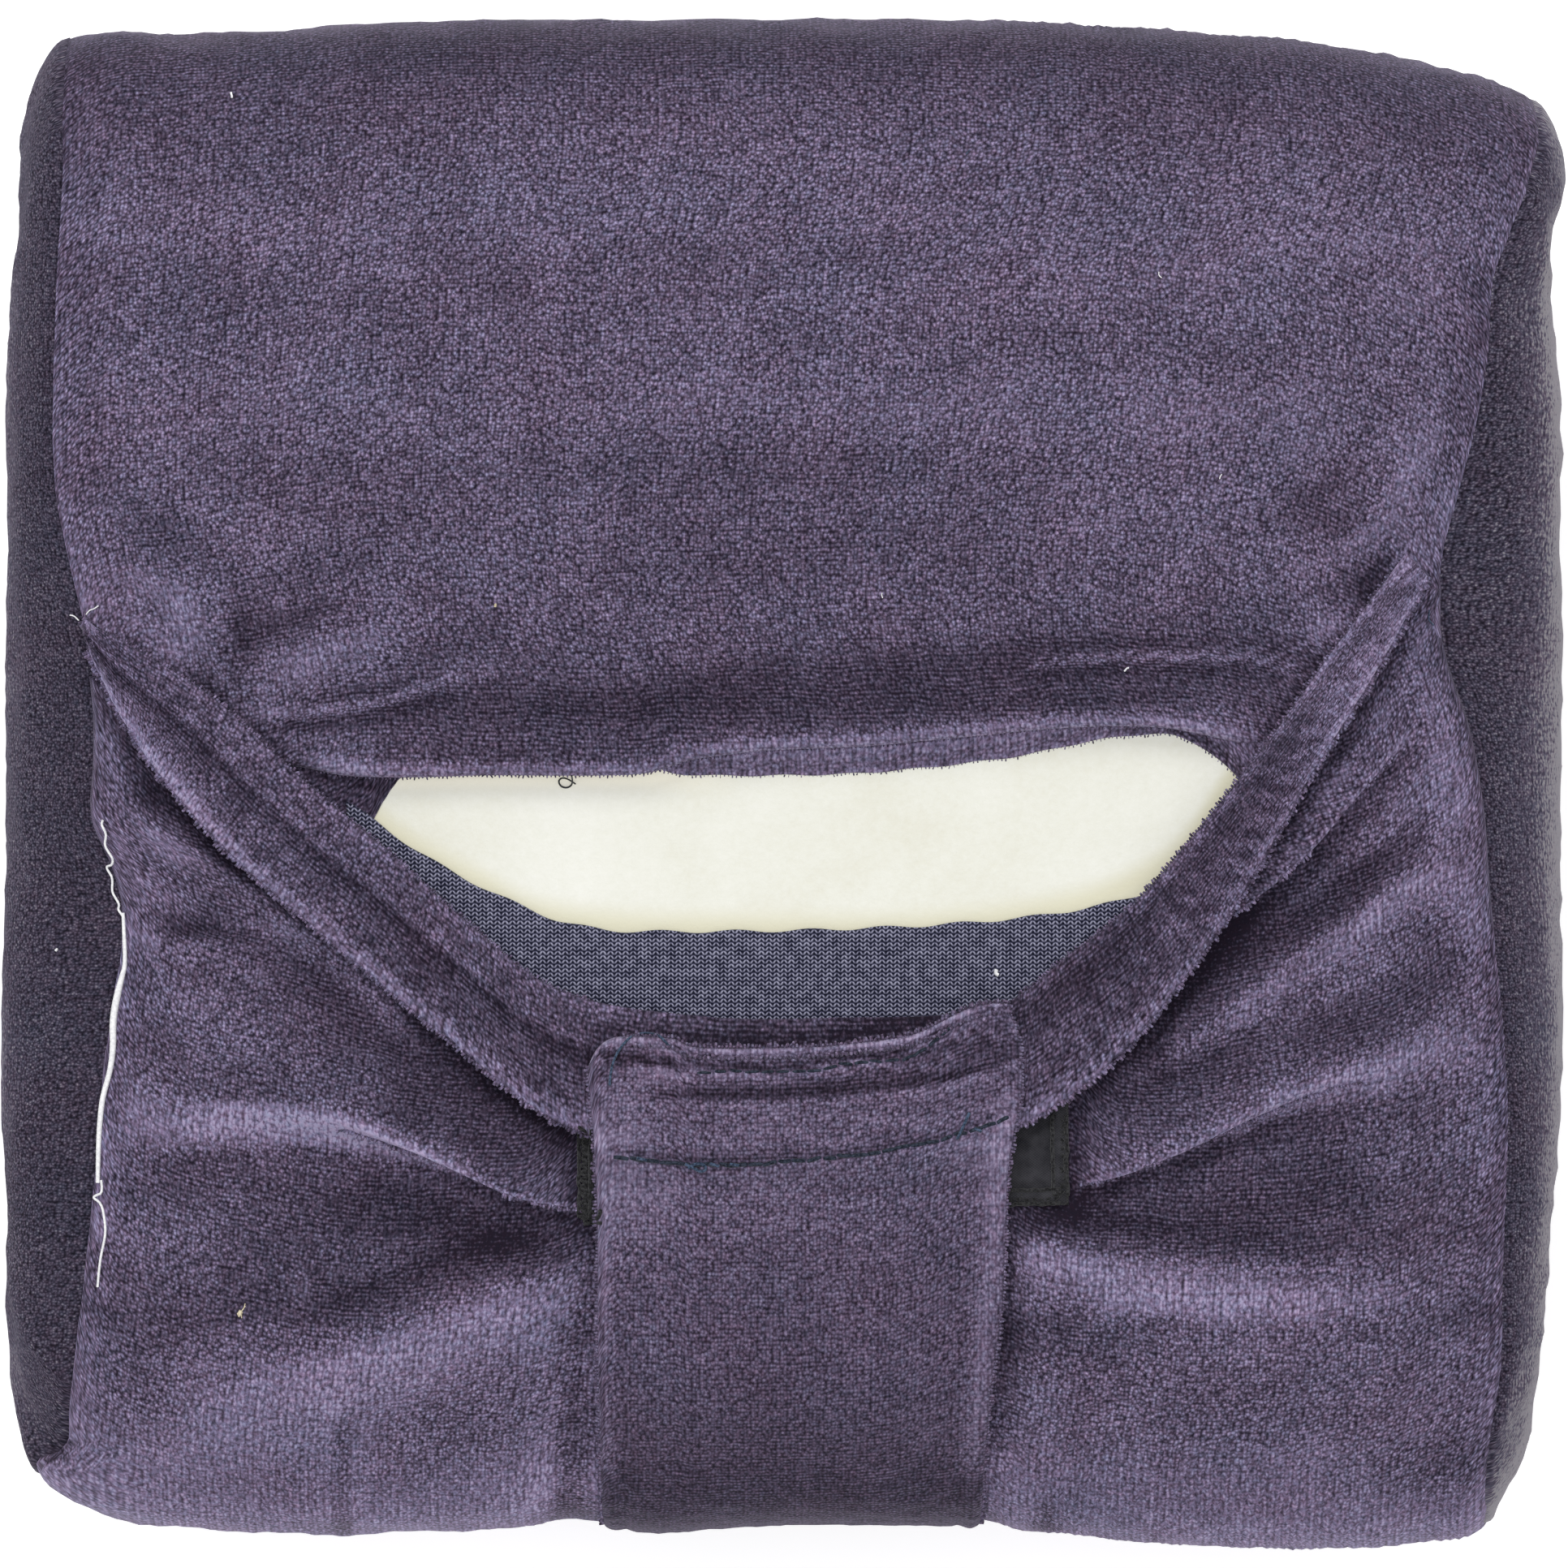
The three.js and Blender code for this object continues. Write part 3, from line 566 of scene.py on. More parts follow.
def maths(operation, first, second=0.0, third=0.0):
    tree = next(value.id_data for value in (first, second, third) if isinstance(value, bpy.types.NodeSocket))
    made = newNode(tree, "ShaderNodeMath", {0: first, 1: second, 2: third}, operation=operation)
    return made.outputs[0]


def ramp(tree, value, stops):
    made = newNode(tree, "ShaderNodeValToRGB", {"Fac": value})
    elements = made.color_ramp.elements
    while len(elements) < len(stops):
        elements.new(0.5)
    for element, (place, colour) in zip(elements, stops):
        element.position = place
        element.color = (*colour, 1)
    return made.outputs["Color"]


def noise(tree, vector, scale, detail, more=None, **settings):
    inputs = {"Vector": vector, "Scale": scale, "Detail": detail, **(more or {})}
    return newNode(tree, "ShaderNodeTexNoise", inputs, **settings).outputs["Fac"]


def ranged(tree, value, start, end, interpolation="LINEAR"):  # 0 at start, 1 at end
    made = newNode(tree, "ShaderNodeMapRange", {"Value": value, "From Min": start, "From Max": end})
    made.interpolation_type = interpolation
    return made.outputs["Result"]


def blend(tree, share, first, second):
    inputs = {"Factor": share, "A": first, "B": second}
    return newNode(tree, "ShaderNodeMix", inputs, data_type="RGBA").outputs["Result"]


def attribute(tree, name):
    return newNode(tree, "ShaderNodeAttribute", attribute_name=name).outputs["Fac"]


def clothPlace(tree):  # the flat cloth's own place, in metres
    return newNode(tree, "ShaderNodeUVMap", uv_map="cloth").outputs["UV"]


def objectPlace(tree):
    return newNode(tree, "ShaderNodeTexCoord").outputs["Object"]


def split(tree, vector):
    return newNode(tree, "ShaderNodeSeparateXYZ", {"Vector": vector}).outputs


def addBump(tree, shader, height, strength, distance):
    bump = newNode(tree, "ShaderNodeBump", {"Height": height, "Strength": strength, "Distance": distance})
    tree.links.new(bump.outputs["Normal"], shader.inputs["Normal"])


def clothMaterial(name, roughness, sheen, sheenRoughness, sheenTint):
    return newMaterial(name, {"Roughness": roughness, "Specular IOR Level": 0.06, "Sheen Weight": sheen,
                              "Sheen Roughness": sheenRoughness, "Sheen Tint": (*sheenTint, 1)})


# sizes are millimetres; contrasts are shares of the way from the darkest tone to the lightest
velourLook = {
    "wale": 1.22, "course": 0.72, "waver": 0.3, "waverSizes": (5, 7),
    "bead": 0.6, "beadRandomness": 0.72, "beadTop": 0.38, "litLonger": 1.9, "litShare": 0.8,
    "fibre": 0.45, "fibreLonger": 1.3, "mottle": 22, "patch": 6,
    "sheen": 0.2, "sheenRoughness": 0.4, "sheenTint": (0.85, 0.8, 1), "roughness": 0.95,
    "lit": (0.05, 0.85), "dim": (-0.05, -0.7), "litFade": -0.12, "dimFade": -0.25,
    "napShadeRange": 0.27, "beadContrast": 0.74, "beadToneContrast": 0.3, "fibreContrast": 0.65,
    "waleContrast": 0.04, "waleBase": 0.035, "courseContrast": 0.08, "courseBase": 0.02,
    "mottleContrast": 0.1, "patchContrast": 0.1,
    "hues": [(14, 3.0, 0.07), (0.9, 1.0, 0.12)],
    "bump": 0.3, "bumpStrength": 0.6, "rimPower": 1.15,
}
velourTones = {
    "front": [(0.014, 0.01, 0.019), (0.04, 0.031, 0.054), (0.1, 0.079, 0.13), (0.218, 0.177, 0.3),
              (0.4, 0.35, 0.53)],
    # the sides' darker tones are painted shade: sides that face away from the light, with their pile seen
    # against its lean
    "side": [(0.01, 0.008, 0.014), (0.025, 0.021, 0.035), (0.053, 0.044, 0.07), (0.112, 0.097, 0.14),
             (0.26, 0.245, 0.27)],
    "strap": [(0.014, 0.01, 0.018), (0.042, 0.032, 0.055), (0.104, 0.08, 0.135), (0.205, 0.168, 0.27),
              (0.36, 0.315, 0.46)],
}


def velourMaterial(name, tones, grainScale=1.0, grainStrength=1.0, sheen=velourLook["sheen"],
                   randomness=velourLook["beadRandomness"], rimmed=False):
    look = velourLook
    material, tree, shader = clothMaterial(name, look["roughness"], sheen, look["sheenRoughness"],
                                           look["sheenTint"])
    uv = clothPlace(tree)
    napShade = attribute(tree, "napShade")
    if rimmed:  # painted sheen: where the pile is seen from its side the base colour is made lighter
        rim = attribute(tree, "rim")
        facing = newNode(tree, "ShaderNodeLayerWeight", {"Blend": 0.5}).outputs["Facing"]
        napShade = maths("MULTIPLY_ADD", maths("POWER", facing, look["rimPower"]), rim, napShade)

    def stretched(longer):
        scaled = newNode(tree, "ShaderNodeMapping", {"Vector": uv, "Scale": (1, 1 / longer, 1)})
        return scaled.outputs["Vector"]

    def drift(size, detail, longer=1.0):
        wave = noise(tree, stretched(longer), 1000 / size, detail, noise_dimensions="2D")
        return maths("SUBTRACT", wave, 0.5)

    def ridges(place, pitch, waver):
        turns = maths("MULTIPLY", place, 2 * math.pi * 1000 / (pitch * grainScale))
        return maths("COSINE", maths("MULTIPLY_ADD", waver, 2 * math.pi / pitch, turns))

    def beads(longer):  # the tufts' round tips, each with its own tone
        inputs = {"Vector": stretched(longer), "Scale": 1000 / (look["bead"] * grainScale),
                  "Randomness": randomness}
        cells = newNode(tree, "ShaderNodeTexVoronoi", inputs, voronoi_dimensions="2D")
        ownTone = newNode(tree, "ShaderNodeSeparateColor", {"Color": cells.outputs["Color"]}).outputs["Red"]
        contrast = look["beadToneContrast"]
        ownTone = maths("MULTIPLY_ADD", ownTone, contrast, -contrast / 2)
        height = maths("SUBTRACT", look["beadTop"], cells.outputs["Distance"])
        return maths("MULTIPLY_ADD", height, look["beadContrast"], ownTone)

    # where the pile leans into view and the painted light is high the tufts are longer and in ribs, and in
    # the painted shade they stand in rows
    acrossCloth, alongCloth, _ = split(tree, uv)
    lit = ranged(tree, napShade, *look["lit"])
    dim = ranged(tree, napShade, *look["dim"])
    wavers = [maths("MULTIPLY", drift(size, 2.0), look["waver"] * 4) for size in look["waverSizes"]]
    wales = ridges(acrossCloth, look["wale"], wavers[0])
    courses = ridges(alongCloth, look["course"], wavers[1])
    short, long = beads(1.0), beads(look["litLonger"])
    longer = maths("MULTIPLY", lit, look["litShare"])
    tufts = maths("MULTIPLY_ADD", maths("SUBTRACT", long, short), longer, short)
    fibres = drift(look["fibre"], 1.0, look["fibreLonger"])
    tufts = maths("MULTIPLY_ADD", fibres, look["fibreContrast"], tufts)
    fade = maths("MULTIPLY_ADD", lit, look["litFade"], maths("MULTIPLY_ADD", dim, look["dimFade"], 1.0))
    ribs = maths("MULTIPLY", wales, maths("MULTIPLY_ADD", lit, look["waleContrast"], look["waleBase"]))
    rows = maths("MULTIPLY", courses, maths("MULTIPLY_ADD", dim, look["courseContrast"], look["courseBase"]))
    grain = maths("MULTIPLY_ADD", tufts, fade, maths("ADD", ribs, rows))
    grain = maths("MULTIPLY", grain, grainStrength)
    # one value from dark to light
    value = maths("MULTIPLY_ADD", napShade, look["napShadeRange"], 0.5)
    value = maths("ADD", value, grain)
    for size, detail in (("mottle", 3.0), ("patch", 2.0)):
        value = maths("MULTIPLY_ADD", drift(look[size], detail), look[size + "Contrast"], value)
    colour = ramp(tree, value, [(place / 4, tone) for place, tone in enumerate(tones)])
    # tufts and patches a little bluer or redder
    hue = 0.5
    for size, detail, amount in look["hues"]:
        hue = maths("MULTIPLY_ADD", drift(size, detail), amount, hue)
    colour = newNode(tree, "ShaderNodeHueSaturation", {"Hue": hue, "Color": colour}).outputs["Color"]
    tree.links.new(colour, shader.inputs["Base Color"])
    addBump(tree, shader, grain, look["bumpStrength"], look["bump"] / 1000)
    return material


velour = velourMaterial("velour", velourTones["front"])
velourSide = velourMaterial("velour of the sides with painted shade and rim sheen", velourTones["side"], grainScale=0.7,
                            grainStrength=1.05, sheen=0.05, randomness=0.9, rimmed=True)
velourStrap = velourMaterial("velour of the strap", velourTones["strap"], grainScale=0.9, grainStrength=0.9)


# foam: cream, with painted shade (yellower and darker) near the facing that covers its lower edge, and
# painted light under the hem at the left
foamLook = {
    "pores": 900.0, "patches": 45.0, "poreContrast": 0.5, "glow": 0.38, "bump": 0.3, "bumpStrength": 0.35,
    "tones": [(0.2, (0.565, 0.556, 0.476)), (0.5, (0.61, 0.61, 0.55)), (0.8, (0.655, 0.655, 0.61))],
    # painted shade near the facing, yellower and darker; painted light under the hem at the left
    "lowerEdge": [(-62, -4), (-54, -10), (-45, -15), (-34, -20), (0, -21.7), (20, -21.5), (40, -18.9),
                  (53.5, -14), (62, -6)],
    "lowerFade": (0.004, -0.0005), "facingShadeTone": (0.55, 0.532, 0.41, 1),
    "brim": [(-62, 1), (-57, 1.1), (-44, 1.3), (-27, 1.3), (-16, 1.2), (0, 1.1), (14, 1.6), (34, 3.8),
             (46, 6.1), (54.5, 7), (60, 6)],
    "brimFade": (0.0035, 0.0002), "brimTone": (0.76, 0.735, 0.62, 1), "brimAtLeft": (-0.006, -0.02),
}


def lineHeight(tree, x, line, middle):  # y of a line of points over x, in metres
    wide, high = 125, 40  # the curve's own square, in millimetres
    curve = newNode(tree, "ShaderNodeFloatCurve", {"Value": maths("MULTIPLY_ADD", x, 1000 / wide, 0.5)})
    bends = curve.mapping.curves[0].points
    places = [(x / wide + 0.5, y / high + middle) for x, y in line]
    for place in places[1:-1]:
        bends.new(*place)
    bends[0].location, bends[-1].location = places[0], places[-1]
    curve.mapping.update()
    return maths("MULTIPLY_ADD", curve.outputs["Value"], high / 1000, -high / 1000 * middle)


def foamMaterial():
    look = foamLook
    material, tree, shader = clothMaterial("cream foam", roughness=0.95, sheen=0.0, sheenRoughness=0.5,
                                           sheenTint=(1, 1, 1))
    place = objectPlace(tree)
    pores = noise(tree, place, look["pores"], 4.0, {"Roughness": 0.7})
    patches = noise(tree, place, look["patches"], 3.0)
    value = maths("MULTIPLY_ADD", maths("SUBTRACT", pores, 0.5), look["poreContrast"], patches)
    colour = ramp(tree, value, look["tones"])
    x, y, _ = split(tree, place)
    overEdge = maths("SUBTRACT", y, lineHeight(tree, x, look["lowerEdge"], middle=0.7))
    shadeNearFacing = ranged(tree, overEdge, *look["lowerFade"], "SMOOTHSTEP")
    colour = blend(tree, shadeNearFacing, colour, look["facingShadeTone"])
    # painted light under the hem, that lifts the shade of the lip and stands for light coming through the
    # foam
    underBrim = maths("SUBTRACT", lineHeight(tree, x, look["brim"], middle=0.5), y)
    brimLight = maths("MULTIPLY", ranged(tree, underBrim, *look["brimFade"], "SMOOTHSTEP"),
                   ranged(tree, x, *look["brimAtLeft"]))
    colour = blend(tree, brimLight, colour, look["brimTone"])
    for socket in ("Base Color", "Emission Color"):
        tree.links.new(colour, shader.inputs[socket])
    shader.inputs["Emission Strength"].default_value = look["glow"]  # painted light: a glow that stands for light the foam lets through and lifts its shade
    addBump(tree, shader, pores, look["bumpStrength"], look["bump"] / 1000)
    return material


knitLook = {"wale": 1.12, "course": 0.64, "slant": 0.75, "strand": 1.5, "leg": 1.6, "wear": (700.0, 2.0, 0.5),
            "tones": [(0.2, (0.007, 0.008, 0.02)), (0.5, (0.1, 0.1, 0.165)), (0.8, (0.38, 0.38, 0.5))]}


def knitMaterial():  # the smooth face of the knit: columns of small v shapes with dark holes between
    look = knitLook
    material, tree, shader = clothMaterial("knit reverse", roughness=0.8, sheen=0.1, sheenRoughness=0.5,
                                           sheenTint=(0.8, 0.85, 1))
    uv = clothPlace(tree)
    acrossCloth, alongCloth, _ = split(tree, uv)
    column = maths("MULTIPLY", acrossCloth, 1000 / look["wale"])
    fromMiddle = maths("ABSOLUTE", maths("SUBTRACT", maths("FRACT", column), 0.5))
    row = maths("MULTIPLY", alongCloth, 1000 / look["course"])
    slanted = maths("FRACT", maths("MULTIPLY_ADD", fromMiddle, -2 * look["slant"], row))
    strand = maths("ABSOLUTE", maths("SUBTRACT", slanted, 0.5))  # 0 on the yarn, 0.5 between
    edge = maths("ABSOLUTE", maths("SUBTRACT", fromMiddle, 0.25))  # 0 on a leg, 0.25 at its ends
    off = maths("MULTIPLY_ADD", strand, look["strand"], maths("MULTIPLY", edge, look["leg"]))
    yarn = maths("SUBTRACT", 1.0, off)
    scale, detail, contrast = look["wear"]
    wear = noise(tree, uv, scale, detail, noise_dimensions="2D")
    value = maths("MULTIPLY_ADD", maths("SUBTRACT", wear, 0.5), contrast, yarn)
    tree.links.new(ramp(tree, value, look["tones"]), shader.inputs["Base Color"])
    addBump(tree, shader, yarn, strength=0.8, distance=0.0003)
    return material


patchLook = {"warp": 0.5, "weft": 0.4, "weaveContrast": 0.15, "wear": (400.0, 3.0),
             "tones": [(0.2, (0.016, 0.016, 0.02)), (0.8, (0.05, 0.049, 0.057))]}


def patchMaterial():
    look = patchLook
    material, tree, shader = clothMaterial("black woven cloth", roughness=0.75, sheen=0.1, sheenRoughness=0.5,
                                           sheenTint=(1, 1, 1))
    uv = clothPlace(tree)
    yarns = [maths("SINE", maths("MULTIPLY", place, 2 * math.pi * 1000 / look[pitch]))
             for place, pitch in zip(split(tree, uv), ("warp", "weft"))]
    weave = maths("MULTIPLY", *yarns)
    wear = noise(tree, uv, *look["wear"], noise_dimensions="2D")
    value = maths("MULTIPLY_ADD", weave, look["weaveContrast"], wear)
    tree.links.new(ramp(tree, value, look["tones"]), shader.inputs["Base Color"])
    addBump(tree, shader, weave, strength=0.4, distance=0.0001)
    return material


def threadMaterial(name, dark, light):
    material, tree, shader = clothMaterial(name, roughness=0.6, sheen=0.2, sheenRoughness=0.4,
                                           sheenTint=(1, 1, 1))
    twist = noise(tree, objectPlace(tree), 2500.0, 2.0)
    tree.links.new(ramp(tree, twist, [(0.35, dark), (0.65, light)]), shader.inputs["Base Color"])
    return material


creamFoam = foamMaterial()
knitReverse = knitMaterial()
patchCloth = patchMaterial()
threadLooks = {
    "white": ("white thread", (0.75, 0.75, 0.78), (0.95, 0.95, 0.95)),
    "teal": ("teal thread", (0.016, 0.026, 0.048), (0.08, 0.115, 0.19)),
    "black": ("black thread", (0.012, 0.012, 0.015), (0.06, 0.065, 0.07)),
    "purple": ("dark sewing thread", (0.008, 0.011, 0.018), (0.04, 0.05, 0.075)),
    "beige": ("beige lint", (0.5, 0.42, 0.28), (0.75, 0.68, 0.5)),
    "overlock": ("overlock thread", (0.01, 0.01, 0.011), (0.042, 0.042, 0.045)),
}
threads = {kind: threadMaterial(*look) for kind, look in threadLooks.items()}
print("materials ready")


# foam block, from a subdivided cube whose points are moved onto the block
foamBlock = {"cuts": 35, "inset": 2.9, "sideShare": 0.0125, "middle": 0.66, "halfLength": 114}
sidePanels = {
    "gap": 0.6, "rounding": 7, "columns": 96, "rows": 52, "crowding": 0.94, "seamRadius": 1.2,
    "thickness": 1.1,
    # per side: a darker base tone as painted shade, painted sheen at the outer rim that grows or fades along
    # the side, and painted shade along the seam
    "tone": {-1: -0.12, 1: -0.18}, "edgeTone": {-1: 0.6, 1: 3.3}, "seamTone": {-1: -0.15, 1: -0.1},
    "rim": {-1: [(60, 0.4), (20, 0.5), (-42, 0.8), (-62, -0.5), (-88, 0.5)],
            1: [(92, -1.4), (62, 0.5), (20, 0.3), (-62, -0.6), (-84, -0.9)]},
    "rimWide": 16, "seamWide": 7,
    # soft dents along the side: where, how deep, how wide
    "dents": [(-70, 0.9, 16), (-20, 0.15, 20), (30, 0.8, 18), (76, 1.1, 10)], "dentLean": 0.25,
    "dentFrom": (2, 14), "lumps": {"high": 0.15, "size": 7, "seed": 6, "from": (0, 5)},
}


def sidePoint(side, v, w, inset=0.0):  # the bulging side; v and w run over a square from rim to rim
    size = np.maximum(np.maximum(np.abs(v), np.abs(w)), 1e-6)
    across = np.full(np.shape(v), 0.0 if side < 0 else 1.0)
    atMiddle = size < 1e-5
    rimY, rimZ = sectionAt(across, np.where(atMiddle, 1, v / size), np.where(atMiddle, 1, w / size))
    half = pillow["middleHeight"]
    middle, length = endsAt(across)
    span = np.hypot(half * w, length * v) / np.maximum(np.hypot(v, w), 1e-6)
    ring = np.where(atMiddle, half, np.clip((1 - size) * span, 0, half))
    shrink = size * (1 - inset / half)
    y = middle + (rimY - middle) * shrink
    z = half + (rimZ - half) * shrink
    widest = follow(pillow["leftWidest" if side < 0 else "rightWidest"], y)
    out = 1 - (1 - ring / half) ** sidePanels["rounding"]
    x = mix(seamX(side, rimY, rimZ) + side * (sidePanels["gap"] - inset), widest - side * inset, out)
    return np.stack([x, y, z], axis=-1), ring


def makeFoam():
    bm = bmesh.new()
    bmesh.ops.create_cube(bm, size=2)
    bmesh.ops.subdivide_edges(bm, edges=bm.edges, cuts=foamBlock["cuts"], use_grid_fill=True)
    mesh = meshOf("foamBlock", bm)
    u, v, w = np.array([vertex.co for vertex in mesh.vertices]).T
    onEnd = np.abs(u) > 0.9999
    loop = np.maximum(np.maximum(np.abs(v), np.abs(w)), 1e-6)
    share = foamBlock["sideShare"]
    across = mix(share, 1 - share, (u + 1) / 2)
    y, z = sectionAt(across, v / loop, w / loop)
    x = mix(seamX(-1, y, z), seamX(1, y, z), across)
    middle, half = foamBlock["middle"], pillow["middleHeight"]
    lengthShare = 1 - foamBlock["inset"] / foamBlock["halfLength"]
    heightShare = 1 - foamBlock["inset"] / half
    places = np.stack([x, middle + (y - middle) * lengthShare, half + (z - half) * heightShare], axis=-1)
    for side in (-1, 1):
        here = onEnd & (np.sign(u) == side)
        places[here] = sidePoint(side, v[here], w[here], foamBlock["inset"])[0]
    mesh.vertices.foreach_set("co", inMetres(places).ravel())
    smooth(mesh)
    mesh.update()
    piece = addObject("foamBlock", mesh)
    finishPiece(piece, creamFoam, "foam", "foam_core")


makeFoam()
print("foam block made")


# cover strip: from the hem over the mouth round the top end, the back and the bottom end to the lower front
coverStrip = {
    "columns": 168, "rows": 268, "seamRadius": 1.2, "thickness": 1.0, "flat": (0.218, 0.596),
    "seamSteps": (0, 0.25, 0.6, 1.1, 1.8),
    "density": {"lip": 2.4, "upper": 0.7, "ends": 0.28, "back": 0.1, "lower": 1.5},
    "samples": {"lip": 90, "upper": 219, "ends": 419, "lower": 639},
    "faceEdge": 84, "pastLip": 4, "lipDrop": 0.3, "height": 98,
    # uneven cloth: size, seed, how high on the faces and how high at the ends
    "lumps": [(4, 1, 0.035, 0.06), (13, 2, 0.05, 0.14)], "lumpTurn": 57, "atEnds": (75, 92),
    # the pile and the next keys set painted sheen and shade from how the cloth faces along its pile, weaker
    # off the front; the valley keys set painted shade in valleys and painted light on ridges
    "pile": (0, -1, 0), "pileSheenStrength": 2.4, "onFront": (62, 82), "pileSheenAside": 0.5,
    "valleyShade": 0.7, "valleyReach": 5, "valleyRange": (-1.2, 0.35),
}

# patches of painted light and shade on the fronts, some where the pile was brushed: x, y, half length, half
# width, degrees turned, tone
paintedPatches = [
    (0, 45, 75, 9, 0, -0.15), (10, 28, 60, 12, 0, -0.56), (40, 40, 30, 8, 0, 0.1), (70, 78, 35, 18, 0, 0.1),
    (-70, 40, 24, 8, 8, -0.3), (0, 70, 90, 16, 0, -0.05), (-20, 112, 120, 6, 0, -0.5),
    (0, 12, 58, 5, 2, -0.7), (-83, 18, 5, 7, 0, -0.8), (-52, 21, 8, 4, 10, -0.6),
    (-63, 27, 7, 3.5, 10, 0.4), (-33, 18, 12, 4, 0, -0.3), (-94, 34, 6, 5, 0, -0.4),
    (75, 23, 6, 6, 30, -0.6), (82, 37, 5, 3.5, 45, -0.5), (-95, 5, 5, 7, 0, -0.6),
    (-50, 72, 26, 10, 0, 0.12), (-40, 57, 40, 6, 0, -0.15), (22, 13, 22, 3, 3, 0.2),
    (40, -97, 60, 8, 0, -0.8), (-62, -95, 34, 8, 8, -0.55), (-84, -16, 10, 7, -35, -0.8),
    (-50, -66, 18, 4, -12, -0.9), (-82, -23, 11, 3, -30, 0.65), (-81, -51, 9, 1.7, -3, 0.3),
    (-82, -30, 6, 3, -10, -0.3), (-82, -37.5, 12, 3.5, -5, 0.8), (-67, -52.5, 9, 2.8, -5, 0.6),
    (-85, -80, 13, 8, 20, -0.55), (-42, -90, 17, 11, 10, -0.65), (-70, -73, 14, 4, 0, -0.3),
    (-36, -106, 5, 4, 0, 0.5), (-97, -42, 3, 12, 0, 0.5), (-84, 22, 3, 3, 0, -0.35),
    (-57, 28, 12, 2.5, 0, 0.3), (-68, 44, 10, 4, 0, 0.3), (-73, 31, 4, 3, 0, -0.25),
    (-72, -55.5, 11, 2.5, -5, 0.4), (-66, -66, 8, 5, 0, -0.2), (-75, -46.5, 12, 2, -3, -0.15),
    (-90, -40, 8, 5, 0, 0.25), (-84, 0, 9, 3, -45, 0.3), (70, -45.5, 18, 2.5, 25, 0.15),
    (68, -67.5, 24, 1.6, 0, 0.3), (68, -73.5, 24, 2, 0, -0.35), (66, -78.5, 26, 1.6, 0, 0.3),
    (70, -30, 16, 1.8, 36, -0.35), (76, -45, 5, 3, 20, 0.25), (90, -18, 6, 2, 33, 0.25),
    (100, -19, 3, 3, 0, -0.4), (-45, -61, 8, 3, -20, -0.25), (-79, 9, 4, 3, 0, 0.4),
    (-78, -22.5, 13, 1.8, -38, 0.4), (-74, -30, 10, 1.5, -37, -0.3), (-93, -23, 9, 3, 0, 0.35),
    (-33, -100, 2.5, 6, 0, 0.4), (36, -70, 3, 5, 0, 0.35), (60, -63, 34, 5, -3, -0.38),
    (84, -60, 16, 8, 0, -0.2), (0, -112, 130, 7, 0, -0.7), (-99, -89, 9, 12, 0, -0.6),
    (70, -90, 34, 8, 0, -0.75), (-38, 3.5, 22, 2.5, 0, -0.55), (-75, -66, 22, 8, 0, -0.3),
    (60, -12, 10, 22, -50, -0.4), (40, -82, 14, 5, 0, -0.55), (98, -81, 16, 10, 0, -0.6),
    (70, -80, 26, 5, 0, -0.3), (101, -100, 9, 6, 0, -0.7), (66, -23, 16, 3, 45, -0.6),
    (92, 33, 3, 4, 0, 0.6), (-94, -88, 9, 12, -10, -0.35), (-65, -99, 4, 8, 0, 0.3),
    (60, -69.5, 30, 3, 0, -0.35), (66, -76.5, 32, 2.5, 0, 0.25), (74, -59, 14, 5, 0, -0.4),
    (101, -45, 3.5, 16, 0, 0.35), (101, -26, 5, 4, 0, 0.4), (80, -34, 12, 3.5, 32, 0.45),
    (77, -24, 16, 2.5, 32, -0.25), (80, -29, 16, 2, 33, 0.25), (-82, -80, 8, 5, 0, -0.3),
    (-82, -29, 10, 2.5, -20, -0.4), (-73, -39, 8, 4, 0, 0.3), (-62, -53.5, 12, 2, -14, 0.4),
    (-68, 40, 12, 6, 0, -0.35), (-20, 63, 10, 7, 0, 0.2), (28, 50, 12, 5, 0, 0.25),
    (92, 70, 8, 10, 0, 0.25), (-62, 76, 14, 5, 0, 0.25), (70, 28, 8, 5, 0, -0.3),
    (45, 12.5, 22, 2.5, 0, -0.45), (0, 15, 40, 2, 0, 0.2), (-90, 19, 4, 4, 0, 0.6),
    (-86, -59, 8, 4, 0, -0.3), (-96, -68, 5, 4, 0, 0.4), (104, 60, 3, 16, 0, -0.3),
    (-102, 42, 4, 14, 0, -0.3), (-97, -10, 4, 9, 0, -0.5), (-62, 19, 16, 4, 8, -0.45),
    (-62, 27.5, 9, 2.5, 8, 0.35), (-80, 14, 7, 4, 0, -0.5), (86, 40, 10, 3.5, 48, -0.5),
    (84, 48, 5, 4, 50, 0.3), (45, -84, 22, 5, 0, -0.4), (65, -76, 34, 2.5, 0, 0.4),
    (94, -103, 14, 6, 0, -0.6), (97, -5, 5, 4, 0, 0.4), (-55, -61, 14, 2.5, -20, -0.7),
    (-90, -48, 6, 5, 0, -0.3), (-42, -53, 8, 5, -40, -0.4), (0, 95, 60, 16, 0, 0.25),
    (65, 72, 14, 8, 0, 0.2), (-68, -104, 26, 4, 0, -0.6), (60, -106, 26, 3.5, 0, -0.35),
    (-38, 60, 18, 6, 0, -0.15), (55, 58, 26, 6, 0, -0.15), (-50, -98, 16, 5, 0, -0.3),
    (60, -37, 8, 2.5, 35, -0.5), (70, -38, 14, 3, 30, 0.4), (100, -3, 5, 5, 0, 0.3),
    (90, -14, 12, 2.5, 33, -0.5), (90, -45, 6, 6, 0, -0.2), (97, -60, 14, 3, 0, -0.2),
    (37, -67, 5, 2, 0, -0.4),
]
